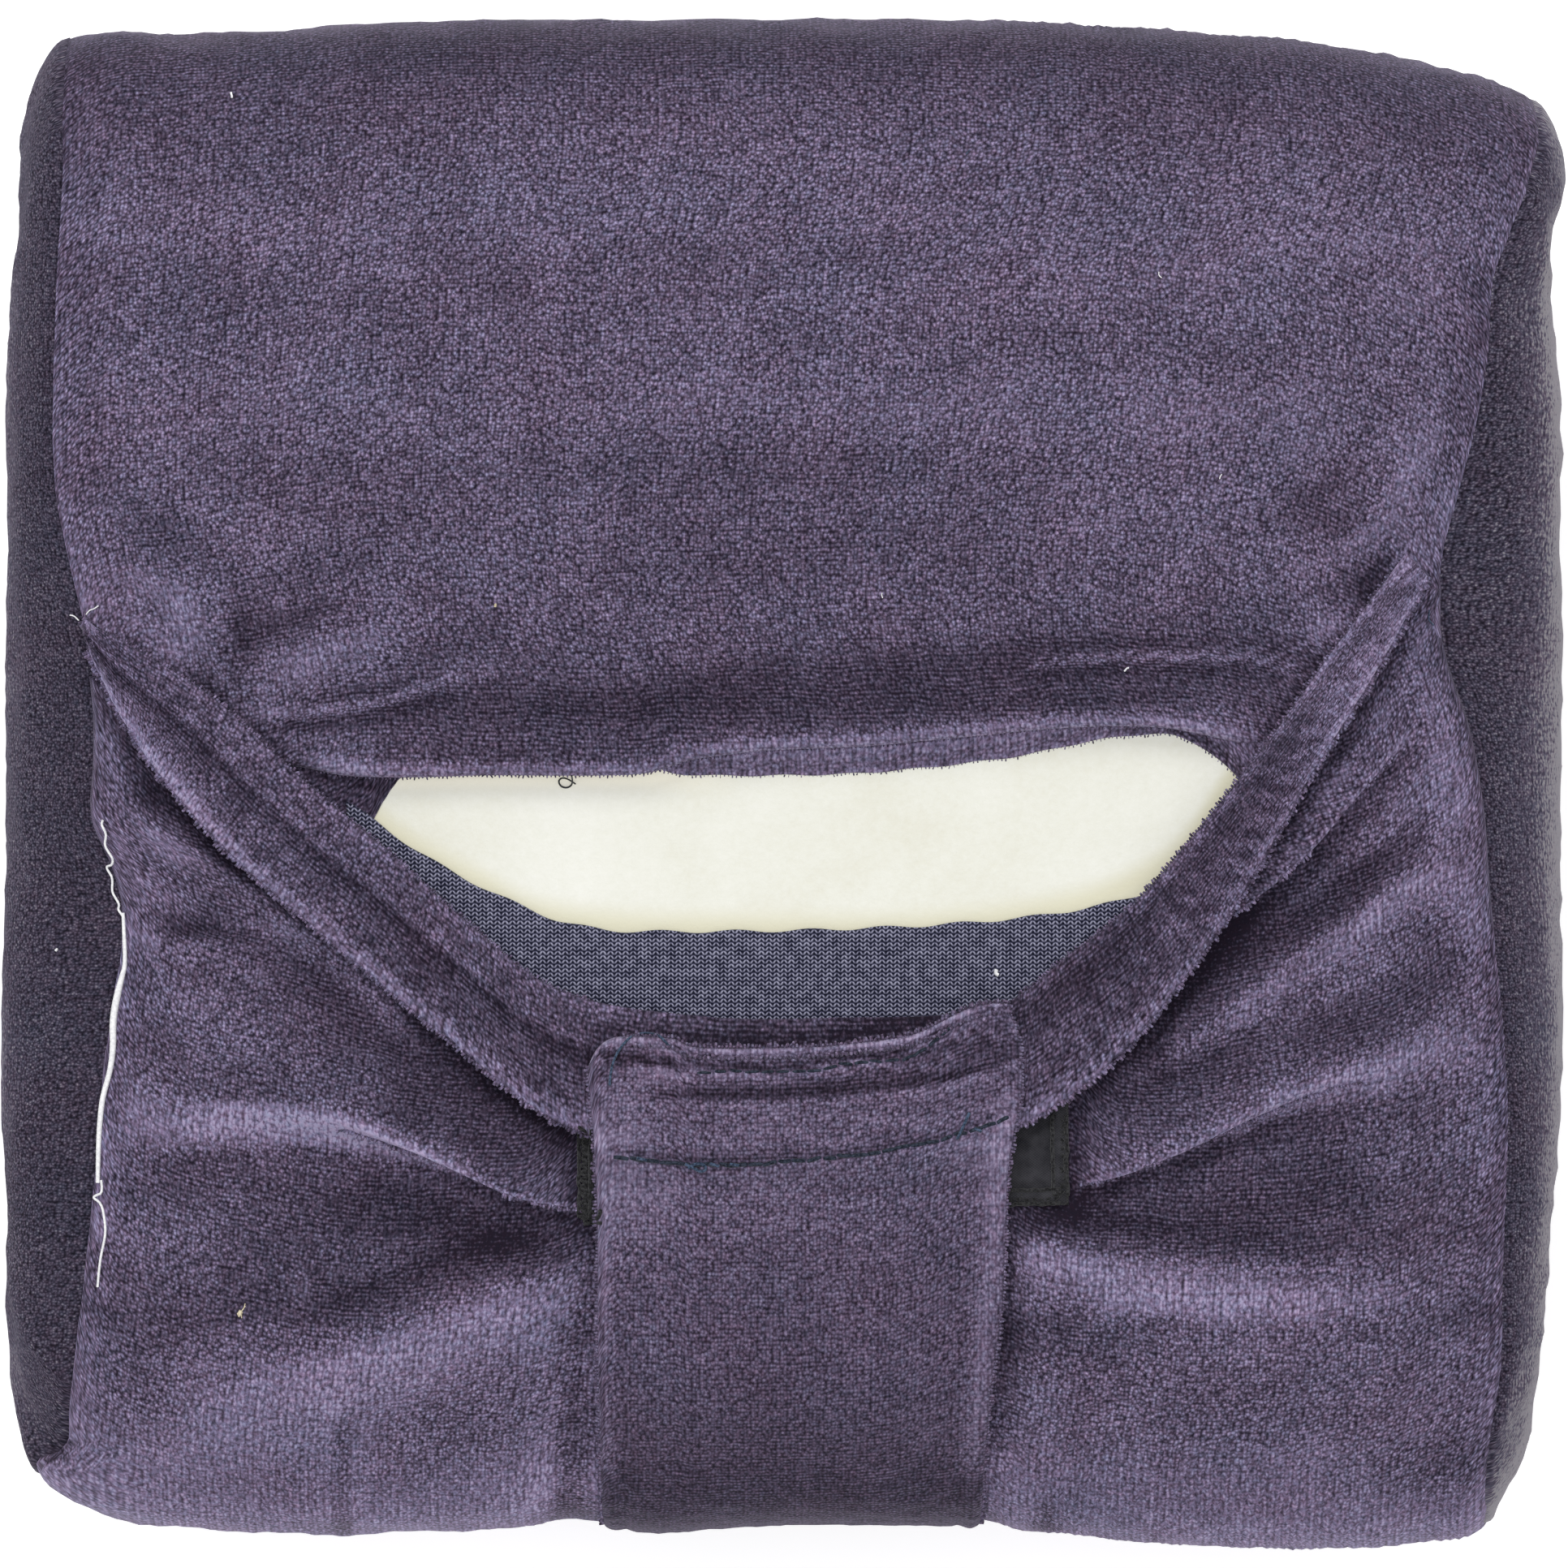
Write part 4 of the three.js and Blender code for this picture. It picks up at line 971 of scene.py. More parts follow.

# painted shadow lines beside the edges of other cloth and in creases, and painted light on ridges and along
# the side seams: points, width, tone
lowerLines = [
    ([(-98, -20), (-99.4, -34), (-100.2, -44), (-101.2, -54), (-101.8, -66)], 1.6, 0.8),
    ([(103.5, -60), (104.5, -46), (103.6, -28)], 1.6, 0.4),
    ([(-103.4, 20), (-98.5, 10), (-92, 1), (-80, -12), (-65.5, -25), (-50, -38), (-33, -51.5)], 3, -1),
    ([(34, -51), (47, -43), (59, -30), (67, -19)], 3, -1.1),
    ([(70, -14), (77, -3)], 1.4, -0.6), ([(82, 6), (88.5, 16.5), (95.6, 31)], 2, -0.9),
    ([(-28.5, -60), (-28.5, -66)], 3, -0.7), ([(-31, -84), (-31, -100)], 3, -0.5),
    ([(33, -68), (33, -80), (32, -94)], 3, -0.8), ([(-31, -53), (-31, -64), (-27, -65)], 1.6, -0.6),
    ([(34, -64), (43, -64), (43, -50)], 1.8, -0.7),
    ([(66, -17.5), (70.5, -13), (74.5, -8), (79, -2), (84.5, 4.5), (89, 10)], 1.8, 1.1),
    ([(68, -21), (74.5, -16.5), (81, -10), (87.5, -2), (91.5, 3.5)], 1.8, -0.5),
    ([(-66, -51), (-56, -53.5), (-47, -57)], 1.8, 0.5),
    ([(48, -56.5), (60, -51.4), (74, -45.2)], 1.5, 0.35),
]
upperLines = [
    ([(-104.4, 34), (-103, 25)], 1.6, 0.1), ([(89.5, 33.5), (86, 28.5)], 1.2, -0.8),
    ([(-97, 20.5), (-86, 13), (-76, 5.5), (-70, 0)], 1.6, -0.9),
    ([(87, 27), (83, 22), (76, 12), (69, 3), (64, -4)], 1.6, -0.8),
    ([(-78, 9), (-68, 9.7), (-59, 11), (-52, 12.9), (-45, 15.2)], 0.9, -0.15),
    ([(-78, 10.8), (-68, 11.6), (-59, 13), (-52, 15), (-45, 17.2)], 1.2, 0.2),
    ([(34, 16.4), (42, 17.2), (52, 17.8), (70, 17.2), (77, 15)], 0.9, -0.25),
    ([(34, 18.2), (42, 19), (52, 19.5), (70, 19), (78, 16.6)], 1, 0),
]


def seamsAt(y):  # both seams at the height of the front
    return seamX(-1, y, coverStrip["height"]), seamX(1, y, coverStrip["height"])


def stripColumns(across):  # dense samples down the strip: turn, extra lift and density
    radius, turnedIn = hem["radius"], hem["turnedIn"]
    samples, density, faceEdge = coverStrip["samples"], coverStrip["density"], coverStrip["faceEdge"]
    quarter = math.pi / 2 * radius
    xNow = mix(*seamsAt(0), across)
    lip = follow(mouth["hem"], xNow) - coverStrip["lipDrop"]
    path = np.linspace(-quarter - turnedIn, quarter + coverStrip["pastLip"], samples["lip"])[:, None]
    angle = np.clip(path / radius, -math.pi / 2, math.pi / 2)
    under = np.maximum(-path - quarter, 0)
    over = np.maximum(path - quarter, 0)
    yLip = lip + radius - radius * np.cos(angle) + under + over

    def steps(part):  # shares of the way, without the start
        return np.linspace(0, 1, samples[part] + 1)[1:, None]

    panel = follow(mouth["panel"], xNow)
    for _ in range(8):
        panel = mix(panel, follow(mouth["panel"], mix(*seamsAt(panel), across)), 0.7)
    turnStart = turnAtY(across, np.full_like(across, faceEdge))
    turnEnd = 8 + turnAtY(across, np.full_like(across, -faceEdge))
    turns = {"lip": turnAtY(across, yLip),
             "upper": turnAtY(across, mix(yLip[-1], faceEdge, steps("upper"))),
             "ends": mix(turnStart, turnEnd, steps("ends")),
             "lower": 8 + turnAtY(across, mix(-faceEdge, panel, steps("lower")))}
    weights = {part: np.full(len(turns[part]), density[part]) for part in turns}
    onBack = np.abs(turns["ends"].mean(axis=1) - 4) < 0.9
    weights["ends"] = np.where(onBack, density["back"], density["ends"])
    turn = np.concatenate(list(turns.values()))
    extra = np.zeros_like(turn)
    extra[:len(yLip)] = radius * np.sin(angle) - radius
    return turn, extra, np.concatenate(list(weights.values()))


def makeStrip():
    steps = np.array(coverStrip["seamSteps"]) / coverWidth
    inner = np.linspace(steps[-1], 1 - steps[-1], coverStrip["columns"] + 3 - 2 * len(steps))
    across = np.concatenate([steps[:-1], inner, 1 - steps[:-1][::-1]])
    turn, extra, weight = stripColumns(across)
    base = coverPoint(across, turn, 0)
    x, y, z = base[..., 0], base[..., 1], base[..., 2]
    upper = np.stack(upperRelief(x, y), axis=-1)
    upper[..., 0] *= ease(z, *reliefFrom)
    lower = np.stack(lowerRelief(x, y, z, np.broadcast_to(across, turn.shape)), axis=-1)
    relief = np.where((turn < 2)[..., None], upper, np.where((turn > 6)[..., None], lower, 0))
    toSeam = np.minimum(across, 1 - across) * coverWidth
    lift = relief[..., 0] + extra - seamRoll(toSeam, coverStrip["seamRadius"])
    atEnds = 1 - ease(z, *coverStrip["atEnds"])
    for size, seed, onFaces, onEnds in coverStrip["lumps"]:
        lift = lift + mix(onFaces, onEnds, atEnds) * lumps(x, turn * coverStrip["lumpTurn"], size, seed)
    places = coverPoint(across, turn, lift)
    places[..., :2] += relief[..., 1:]
    # rows at equal weighted lengths, so that lips and folds get more of them
    step = np.linalg.norm(np.diff(places, axis=0), axis=2)
    start = np.zeros(len(across))
    length = np.vstack([start, np.cumsum(step, axis=0)])
    weighted = np.vstack([start, np.cumsum(step * weight[1:, None], axis=0)])
    rows = coverStrip["rows"]
    resampled = np.empty((rows + 1, len(across), 3))
    flat = np.empty((rows + 1, len(across), 2))
    for column in range(len(across)):
        wanted = np.linspace(0, weighted[-1, column], rows + 1)
        resampled[:, column] = sampled(places[:, column], weighted[:, column], wanted)
        fromBack = length[:, column] - np.interp(4, turn[:, column], length[:, column])
        flat[:, column, 0] = (across[column] - 0.5) * coverWidth
        flat[:, column, 1] = np.interp(wanted, weighted[:, column], fromBack)
    x, y, z = resampled[..., 0], resampled[..., 1], resampled[..., 2]
    onFront = ease(z, *coverStrip["onFront"])
    # painted shade in valleys and painted light on ridges
    valley = valleyShade(resampled, coverStrip["valleyReach"]) * coverStrip["valleyShade"]
    valley = np.clip(valley, *coverStrip["valleyRange"])
    isLower = np.broadcast_to(np.arange(len(x))[:, None] > len(x) / 2, x.shape)
    lineShade = shadeAlong(lowerLines, x, y) * isLower + shadeAlong(upperLines, x, y) * ~isLower
    # painted sheen and shade from how the cloth faces along its pile, weaker off the front, plus painted
    # shadow lines, highlight lines and patches of light and shade on the front
    napShade = pileFacingShade(resampled, coverStrip["pile"], coverStrip["pileSheenStrength"])
    napShade = napShade * mix(coverStrip["pileSheenAside"], 1, onFront)
    napShade = napShade + (valley + paintedPatchTone(paintedPatches, x, y) + lineShade) * onFront
    piece = clothGrid("coverStrip", resampled, flat, napShade)
    addThickness(piece, coverStrip["thickness"])
    finishPiece(piece, velour, "velour", "cover_wrap")
    return resampled


stripPlaces = makeStrip()
print("cover strip made")


# the hem's turned layer, which shows under the lip at the right, and the cloth in the mouth's left corner
underLayers = {
    "right": {"name": "hemUnderside", "x": (-20, 76), "back": 12, "depth": (-0.2, -2.2), "long": 0.0134,
              "edge": [(-20, 2.4), (-16, 1.2), (0, 1), (14, 1.5), (34, 3.7), (46, 6.1), (54.5, 7.1),
                       (58, 6.8), (62, 5.2), (65, 3), (68, 0), (76, -8)],
              "tone": 0.4, "inside": 0.5, "rib": 0.12},
    "left": {"name": "mouthCorner", "x": (-82, -56.6), "back": 14, "depth": (-1.4, -2.2), "long": 0.0154,
             "edge": [(-82, -14), (-76, -12), (-66, -9), (-61.5, -6.2), (-60, -3.6), (-58.6, -1.4),
                      (-57.2, 0.4), (-56, 1.2)],
             "tone": -0.8, "inside": 0, "rib": 0.05},
}
underLook = {"columns": 90, "rows": 24, "radius": 0.6, "ribPitch": 1.2, "thickness": 0.6, "sink": (0, 4),
             "edgeTone": 0.25, "insideFrom": (1.5, 3.5), "endTone": 0.6, "endFrom": (54, 60)}


def makeUnderLayer(layer):
    look = underLook
    x = np.linspace(*layer["x"], look["columns"] + 1)
    edge = follow(layer["edge"], x) + layer["rib"] * np.sin(x * 2 * math.pi / look["ribPitch"])
    share = np.linspace(0, 1, look["rows"] + 1)[:, None]
    y = mix(edge, edge + layer["back"], share ** 1.5)
    x = np.broadcast_to(x, y.shape)
    fromEdge = y - edge
    lift = mix(layer["depth"][1], layer["depth"][0], ease(fromEdge, *look["sink"]))
    places = frontPoint(x, y, lift - seamRoll(fromEdge, look["radius"]))
    # painted light and shade: each layer's own tone, the right one lighter as painted sheen where it faces
    # down the pile; lighter along the edge; painted light away from the edge of the right layer, lifting the
    # lip's shadow; darker towards the right end
    napShade = layer["tone"] + look["edgeTone"] * hill(fromEdge, 0, 1)
    napShade = napShade + layer["inside"] * ease(fromEdge, *look["insideFrom"])
    napShade = napShade - look["endTone"] * ease(x, *look["endFrom"])
    piece = clothGrid(layer["name"], places, np.stack([x + 300, fromEdge], axis=-1), napShade)
    addThickness(piece, look["thickness"])
    finishPiece(piece, velour, "velour")
    layer["rim"] = places[0]
    return piece


for layer in underLayers.values():
    piece = makeUnderLayer(layer)
print("turned layers made")


# side panels
def crowded(count):  # steps from -1 to 1 that are closer at both ends
    widest = math.sin(math.pi / 2 * sidePanels["crowding"])
    return np.sin(np.linspace(-1, 1, count + 1) * math.pi / 2 * sidePanels["crowding"]) / widest


def makeSidePanel(side, name, node):
    part = sidePanels
    v, w = np.meshgrid(crowded(part["columns"]), crowded(part["rows"]))
    places, ring = sidePoint(side, v, w)
    places[..., 0] -= side * seamRoll(ring, part["seamRadius"])
    y, z = places[..., 1], places[..., 2]
    for middle, deep, wide in part["dents"]:
        dent = hill(y, middle + (z - pillow["middleHeight"]) * part["dentLean"], wide)
        places[..., 0] -= side * deep * dent * ease(ring, *part["dentFrom"])
    middleColumn = lengthAlong(places, 0)[:, [part["columns"] // 2]]
    flat = np.stack([np.broadcast_to(middleColumn, y.shape), y], axis=-1)
    rough = part["lumps"]
    uneven = lumps(y, z, rough["size"], rough["seed"] + side)
    places[..., 0] += side * rough["high"] * uneven * ease(ring, *rough["from"])
    # painted sheen at the rim, stronger or weaker along the side, and painted shade along the seam
    stretches = sum(amount * hill(y, at, part["rimWide"]) for at, amount in part["rim"][side])
    rim = part["edgeTone"][side] + stretches
    napShade = part["tone"][side] + part["seamTone"][side] * hill(ring, 1, part["seamWide"])
    piece = clothGrid(name, places, flat, napShade, mirrored=side < 0, rim=rim)
    addThickness(piece, part["thickness"])
    finishPiece(piece, velourSide, "velour_side", node)


makeSidePanel(-1, "sidePanelLeft", "side_panel_left")
makeSidePanel(1, "sidePanelRight", "side_panel_right")
print("side panels made")


# knit-side-out facing between the foam and the band, its upper edge turned over
innerFacing = {"left": -65, "right": 60, "bottom": -56, "top": -0.9, "radius": 0.6, "turnedIn": 3,
               "columns": 120, "rollRows": 15, "flatRows": 30, "thickness": 0.5, "rib": 0.25,
               "ribPitch": 1.15}


def makeFacing():
    part = innerFacing
    radius = part["radius"]
    x = np.linspace(part["left"], part["right"], part["columns"] + 1)
    edge = follow(mouth["facing"], x) + part["rib"] * np.sin(x * 2 * math.pi / part["ribPitch"])
    quarter = math.pi / 2 * radius
    path = np.linspace(-quarter - part["turnedIn"], quarter, part["rollRows"])[:, None]
    angle = np.clip(path / radius, -math.pi / 2, math.pi / 2)
    yRoll = edge - radius + radius * np.cos(angle) - np.maximum(-path - quarter, 0)
    liftRoll = part["top"] - radius + radius * np.sin(angle)
    yFlat = mix(yRoll[-1], part["bottom"], np.linspace(0, 1, part["flatRows"] + 1)[1:, None])
    y = np.concatenate([yRoll, yFlat])[::-1]
    lift = np.concatenate([liftRoll, np.full((part["flatRows"], 1), part["top"])])[::-1]
    x = np.broadcast_to(x, y.shape)
    piece = clothGrid("innerFacing", frontPoint(x, y, lift), np.stack([x, y], axis=-1))
    addThickness(piece, part["thickness"])
    finishPiece(piece, knitReverse, "knit", "inner_facing")


makeFacing()
print("facing made")


# neck band: folded cloth round the mouth; each row is a place along it, mouth edge and fold edge
neckBand = {
    "mouthX": [-104, -97.5, -84.5, -71.2, -58.5, -47.2, -33, -12, 8, 30.5, 42.6, 52.4, 62.2, 72, 82, 92.2],
    "mouthY": [24.5, 21, 13, 0.8, -10.1, -20.4, -30.9, -34.6, -34.8, -33.4, -25.2, -17.2, -5.6, 7.2, 21,
               34.2],
    "foldX": [-103, -97.8, -91.6, -80, -65.5, -50, -33, -14, 10, 31, 47, 58.6, 69.2, 77.8, 87, 95.4],
    "foldY": [20, 10, 1, -12, -25, -38, -50.6, -55, -55, -52.5, -43, -30, -14, 2, 16.5, 31],
    "steps": 400, "around": 56, "squareness": 3.4, "thickness": 2.9, "foldPuff": 0.25,
    "turns": (-1.95, 5.95), "crowding": 0.25, "underside": (0.8, 3.6), "rise": (0, 0.45),
    "overHem": 1.7, "overHemAt": (2.6, 12.8), "overHemWide": 1.6,
    "seam": {"share": 0.42, "deep": 1, "wide": 0.06, "toneWide": 0.03, "tone": 0.65}, "leftPart": (6, 7.5),
    "ripple": {"high": 0.35, "quick": 2.1, "slow": 0.9, "skew": 2}, "clothThickness": 0.9,
    "flat": (0.036, 0.25), "stepLength": 17, "endHalf": 0.45, "endTaper": 0.7,
    # uneven cloth: size, seed, amount
    "lumps": [(3, 3, 0.2), (8, 4, 0.25)], "toneLumps": (1.2, 21, 0.14),
    "pile": (0, -1, 0), "pileSheenStrength": 1.6, "pileSheenShare": 0.8, "napShadeOffset": 0.55,
    "strapShadow": [([(-27, -37), (-15, -37.6), (4, -38)], 1.6, -0.6),
                    ([(8, -37.2), (14, -36), (20, -34.4), (26, -32.2), (32, -31)], 2, -1.1)],
}


def bandPoint(place, share, lift):
    index = np.arange(len(neckBand["mouthX"]))
    mouthX, mouthY, foldX, foldY = (follow(list(zip(index, neckBand[key])), place)
                                    for key in ("mouthX", "mouthY", "foldX", "foldY"))
    return frontPoint(mix(mouthX, foldX, share), mix(mouthY, foldY, share), lift)


def bandUnderside(place, share):
    first, last = (hill(place, at, neckBand["overHemWide"]) for at in neckBand["overHemAt"])
    return mix(*neckBand["underside"], ease(share, *neckBand["rise"])) + neckBand["overHem"] * (first + last)


def bandLumps(place, share, size, seed, amount):
    return amount * lumps(place * neckBand["stepLength"], share * neckBand["stepLength"], size, seed)


def bandTube():
    last = len(neckBand["mouthX"]) - 1
    turn = np.linspace(*neckBand["turns"], neckBand["around"] + 1)  # both layers, open at the mouth's side
    turn = turn + neckBand["crowding"] * np.sin(turn * math.pi / 2)  # more points round the fold
    v, w = squareLoop(turn[:, None])
    reach = rounding(v, w, neckBand["squareness"])
    place = np.linspace(0, last, neckBand["steps"] + 1)[None, :]
    taper = np.minimum(ease(place, 0, neckBand["endTaper"]), ease(place, last, last - neckBand["endTaper"]))
    share = 0.5 + 0.5 * v * reach * np.ones_like(place)
    puff = 1 - neckBand["foldPuff"] + 2 * neckBand["foldPuff"] * share
    half = neckBand["thickness"] / 2 * puff * mix(neckBand["endHalf"], 1, taper)
    seam = neckBand["seam"]
    atLeft = 1 - ease(place, *neckBand["leftPart"])
    groove = seam["deep"] * hill(share, seam["share"], seam["wide"]) * atLeft
    wave = neckBand["ripple"]
    quick = np.sin(place * wave["quick"] + share * wave["skew"])
    ripple = wave["high"] * quick * np.sin(place * wave["slow"])
    fine, broad = (bandLumps(place, share, *kind) for kind in neckBand["lumps"])
    rough = fine + broad
    lift = bandUnderside(place, share) + half + half * w * reach + (ripple + rough - groove) * (w > 0)
    return bandPoint(place, share, lift), place, share


def turnedInward(places):  # whether a rolled grid's normals point to its inside
    return (gridNormals(places) * (places - places.mean(axis=0))).sum() < 0


# painted light and shade of the band: an amount, or one at the left and one at the right, and the shares of
# its width and the places along it over which each one sets in
bandTones = {
    "rightPart": (9, 10), "base": 0.15,
    "fold": {"amount": (0.75, 0.5), "share": (0.78, 0.92)},
    "leftFold": {"amount": 0.8, "share": (0.55, 0.85), "place": (1.2, 3.5)},
    "mouthEdge": {"amount": (0.3, 0.65), "share": (0.18, 0.05)},
    "besideSeam": {"amount": 0.5, "share": (0.46, 0.34)},
    "rightEnd": {"amount": 0.8, "place": (12.8, 13.8)},
    "beforeEnd": {"amount": 0.4, "at": 10.2, "wide": 1, "share": (0.45, 0.1)},
}


def bandShade(places, place, share, mirrored):
    # painted sheen and shade from how the band faces along its pile, scaled and made darker as a whole
    napShade = pileFacingShade(places, neckBand["pile"], neckBand["pileSheenStrength"], mirrored)
    napShade = napShade * neckBand["pileSheenShare"] - neckBand["napShadeOffset"]
    atLeft = 1 - ease(place, *neckBand["leftPart"])
    atRight = ease(place, *bandTones["rightPart"])
    seam = neckBand["seam"]
    # painted highlight along the fold, and wider at its left end
    fold, leftFold = bandTones["fold"], bandTones["leftFold"]
    napShade += mix(*fold["amount"], atRight) * ease(share, *fold["share"])
    napShade += leftFold["amount"] * ease(share, *leftFold["share"]) * (1 - ease(place, *leftFold["place"]))
    # painted highlight at the mouth edge, and lighter beside the seam at the left
    mouthEdge, besideSeam = bandTones["mouthEdge"], bandTones["besideSeam"]
    edgeLight = mix(*mouthEdge["amount"], atRight) * ease(share, *mouthEdge["share"])
    napShade += edgeLight + besideSeam["amount"] * ease(share, *besideSeam["share"]) * atLeft
    # painted shade in the seam, lighter at the right end, darker at the mouth edge just before it
    napShade -= seam["tone"] * hill(share, seam["share"], seam["toneWide"]) * atLeft
    rightEnd, beforeEnd = bandTones["rightEnd"], bandTones["beforeEnd"]
    endLight = bandTones["base"] + rightEnd["amount"] * ease(place, *rightEnd["place"])
    endDark = beforeEnd["amount"] * hill(place, beforeEnd["at"], beforeEnd["wide"])
    napShade += endLight - endDark * ease(share, *beforeEnd["share"])
    napShade += bandLumps(place, share, *neckBand["toneLumps"])
    napShade += shadeAlong(neckBand["strapShadow"], places[..., 0], places[..., 1])
    return napShade


def makeBand():
    places, place, share = bandTube()
    mirrored = turnedInward(places)
    length = np.broadcast_to(runLength(places[0]), places.shape[:2])
    flat = np.stack([length, share * neckBand["stepLength"]], axis=-1)
    piece = clothGrid("neckBand", places, flat, bandShade(places, place, share, mirrored), mirrored)
    addThickness(piece, neckBand["clothThickness"])
    finishPiece(piece, velour, "velour", "neck_band")
    return places


bandPlaces = makeBand()
print("neck band made")


# strap: side edges down its length, its sewn top edge, and the seams and puffs across it
strap = {
    "left": [(-125, -27), (-108, -27.1), (-88, -27.4), (-76, -27.5), (-64, -27.5), (-58, -27.8),
             (-52, -28.1), (-46, -28.7), (-42, -28.9), (-38, -28)],
    "right": [(-125, 29.3), (-108, 29.5), (-88, 30.6), (-76, 32.2), (-58, 33), (-51, 34), (-46, 35),
              (-42, 35), (-38, 34.5), (-34, 33)],
    "top": [(-29, -42.5), (-28, -39.6), (-25.5, -38.2), (-17, -38.4), (-15, -39.4), (-10, -39.7),
            (4, -39.5), (10, -38.9), (14, -38.4), (17, -37.9), (20.4, -36.7), (26, -34.2), (30, -33.1),
            (33, -32.9)],
    "underBand": (-61, -54), "landing": (-104, -84),
    "lift": {"overBand": 6.8, "overPanel": 3.7, "atEnd": -0.6},
    "thickness": 1.9, "columns": 64, "rows": 190, "squareness": 4.5, "flat": (0.06, 0.17),
    "across": [
        # lines across the strap: points (x, y), height, width and the stretch over which it shows
        {"line": [(-28, -42.6), (0, -42.9), (10, -41.2), (16, -40.9), (24, -36.9), (28, -35), (34, -34)],
         "height": -0.7, "wide": 0.9, "from": -27, "to": 31},
        {"line": [(-28, -45.5), (0, -45.2), (12, -44), (22, -42.6), (34, -38)],
         "height": 0.45, "wide": 2.2, "from": -22, "to": 34},
        {"line": [(-28, -46.9), (-17, -46.9), (-2, -46.9), (10, -46.2), (21.6, -44.8), (25, -44.2),
                  (31, -42.2), (35, -40.6)],
         "height": -0.6, "wide": 0.9, "from": -20, "to": 36},
        {"line": [(-28, -49.5), (0, -49.4), (20, -47.6), (35, -43.8)], "height": 0.5, "wide": 3,
         "from": -26, "to": 34},
        {"line": [(-28, -54), (-23, -55), (-15, -56), (-10, -56.2), (0, -55.8), (10, -54.8), (20, -53.4),
                  (26, -52), (33, -48.7)],
         "height": -0.4, "wide": 0.8, "from": -26, "to": 34},
        {"line": [(-28, -41.6), (-25, -41.4), (-16, -42.4), (-12, -42.6)],
         "height": -0.7, "wide": 0.9, "from": -26, "to": -13},
    ],
    "edgeRidge": {"height": 0.3, "at": 1.3, "wide": 1.3},
    "edgeGroove": {"height": 0.22, "at": 3.1, "wide": 0.5},
    "cornerPuff": {"height": 0.5, "x": (-24, 7), "y": (-40.5, 3.5)}, "fade": 2,
    "pile": (0, 0.8, -0.35), "pileSheenStrength": 1.5, "onFront": (40, 70),
    "endRound": 1.1, "reliefFade": 1.5, "lumps": (4, 5), "lumpHeight": 0.06,
    "topLumps": (2.2, 9), "topTone": 0.35, "topFade": (3, 7),
    "lastTurn": -2.86,  # about 12 mm above the surface that the pillow lies on
    "samples": 900, "fineLength": 30, "fineRows": 60, "weld": 0.000003,
    # patches of painted light and shade: x, y, half length, half width, degrees turned, tone
    "paintedPatches": [(0, -51.5, 30, 2.4, 3, 0.4), (0, -64, 40, 6, 3, 0.3), (0, -72, 40, 14, 0, 0.1),
                (0, -57.5, 34, 3, 3, 0.65), (2, -50, 30, 2.5, 3, 0.3), (0, -93, 40, 9, 0, 0.3),
                (0, -82, 30, 12, 0, 0.1), (-19, -60, 6, 7, 0, 0.3), (-18, -82, 7, 14, 0, 0.2),
                (-15, -44, 12, 2, 3, 0.3), (-24, -55, 4, 5, 0, 0.5), (18, -82, 12, 16, 0, 0.2),
                (8, -57, 26, 4, 3, 0.15), (0, -108, 40, 6, 0, -0.2), (-22, -48, 7, 4, 0, 0.2),
                (29, -56, 6, 7, 0, 0.5), (4, -43.6, 26, 1.6, 4, 0.3), (-24, -60, 4, 9, 0, 0.4),
                (-14, -92, 10, 14, 0, 0.1)],
    # painted highlights along the strap's edges and top, painted shade in its seams and grooves: points,
    # width, tone
    "lines": [
        ([(13, -39.6), (17, -38.9), (22, -37.4), (27, -35.4)], 1.8, 0.6),
        ([(-24, -39.6), (-17, -39.9), (-10, -41), (4, -40.8), (10, -39.6), (17, -38.4), (22, -36.4),
          (30, -34.2)],
         1.3, 0.45),
        ([(-25.5, -41.6), (-16, -42.6), (-10, -42.9), (0, -43), (10, -41.5), (16, -41), (24, -37.2),
          (28, -35.4)],
         0.7, -0.7),
        ([(-14, -44.9), (0, -45.1), (12, -44), (20, -42.6), (30, -39.4)], 1.6, -0.5),
        ([(18, -40), (26, -38.6), (31, -37.4)], 2.4, -0.2),
        ([(-19, -47.2), (-2, -47.2), (10, -46.5), (21.6, -45), (31, -42.4), (35, -40.8)], 0.6, -0.9),
        ([(-26, -54.4), (-15, -56.2), (-10, -56.4), (0, -56), (10, -55), (20, -53.6), (26, -52.2),
          (33, -49)],
         0.6, -0.55),
        ([(-27.6, -50), (-27, -60), (-26.4, -78), (-26.2, -100)], 1.6, 0.65),
        ([(32.8, -48), (31.6, -60), (30, -78), (28, -100)], 2.2, 0.9),
    ],
}


def strapUnderside(y):
    lift = strap["lift"]
    onPanel = mix(lift["atEnd"], lift["overPanel"], ease(y, *strap["landing"]))
    return mix(onPanel, lift["overBand"], ease(y, *strap["underBand"]))


def strapRelief(x, y, fromSide):
    total = np.zeros_like(x)
    fade = strap["fade"]
    for item in strap["across"]:
        first, last = item["from"], item["to"]
        there = within(x, (first - fade, first + fade), (last - fade, last + fade))
        total += there * item["height"] * hill(y, follow(item["line"], x), item["wide"])
    ridge, groove, puff = strap["edgeRidge"], strap["edgeGroove"], strap["cornerPuff"]
    total += ridge["height"] * hill(fromSide, ridge["at"], ridge["wide"])
    total -= groove["height"] * hill(fromSide, groove["at"], groove["wide"])
    total += puff["height"] * hill(x, *puff["x"]) * hill(y, *puff["y"])
    return total


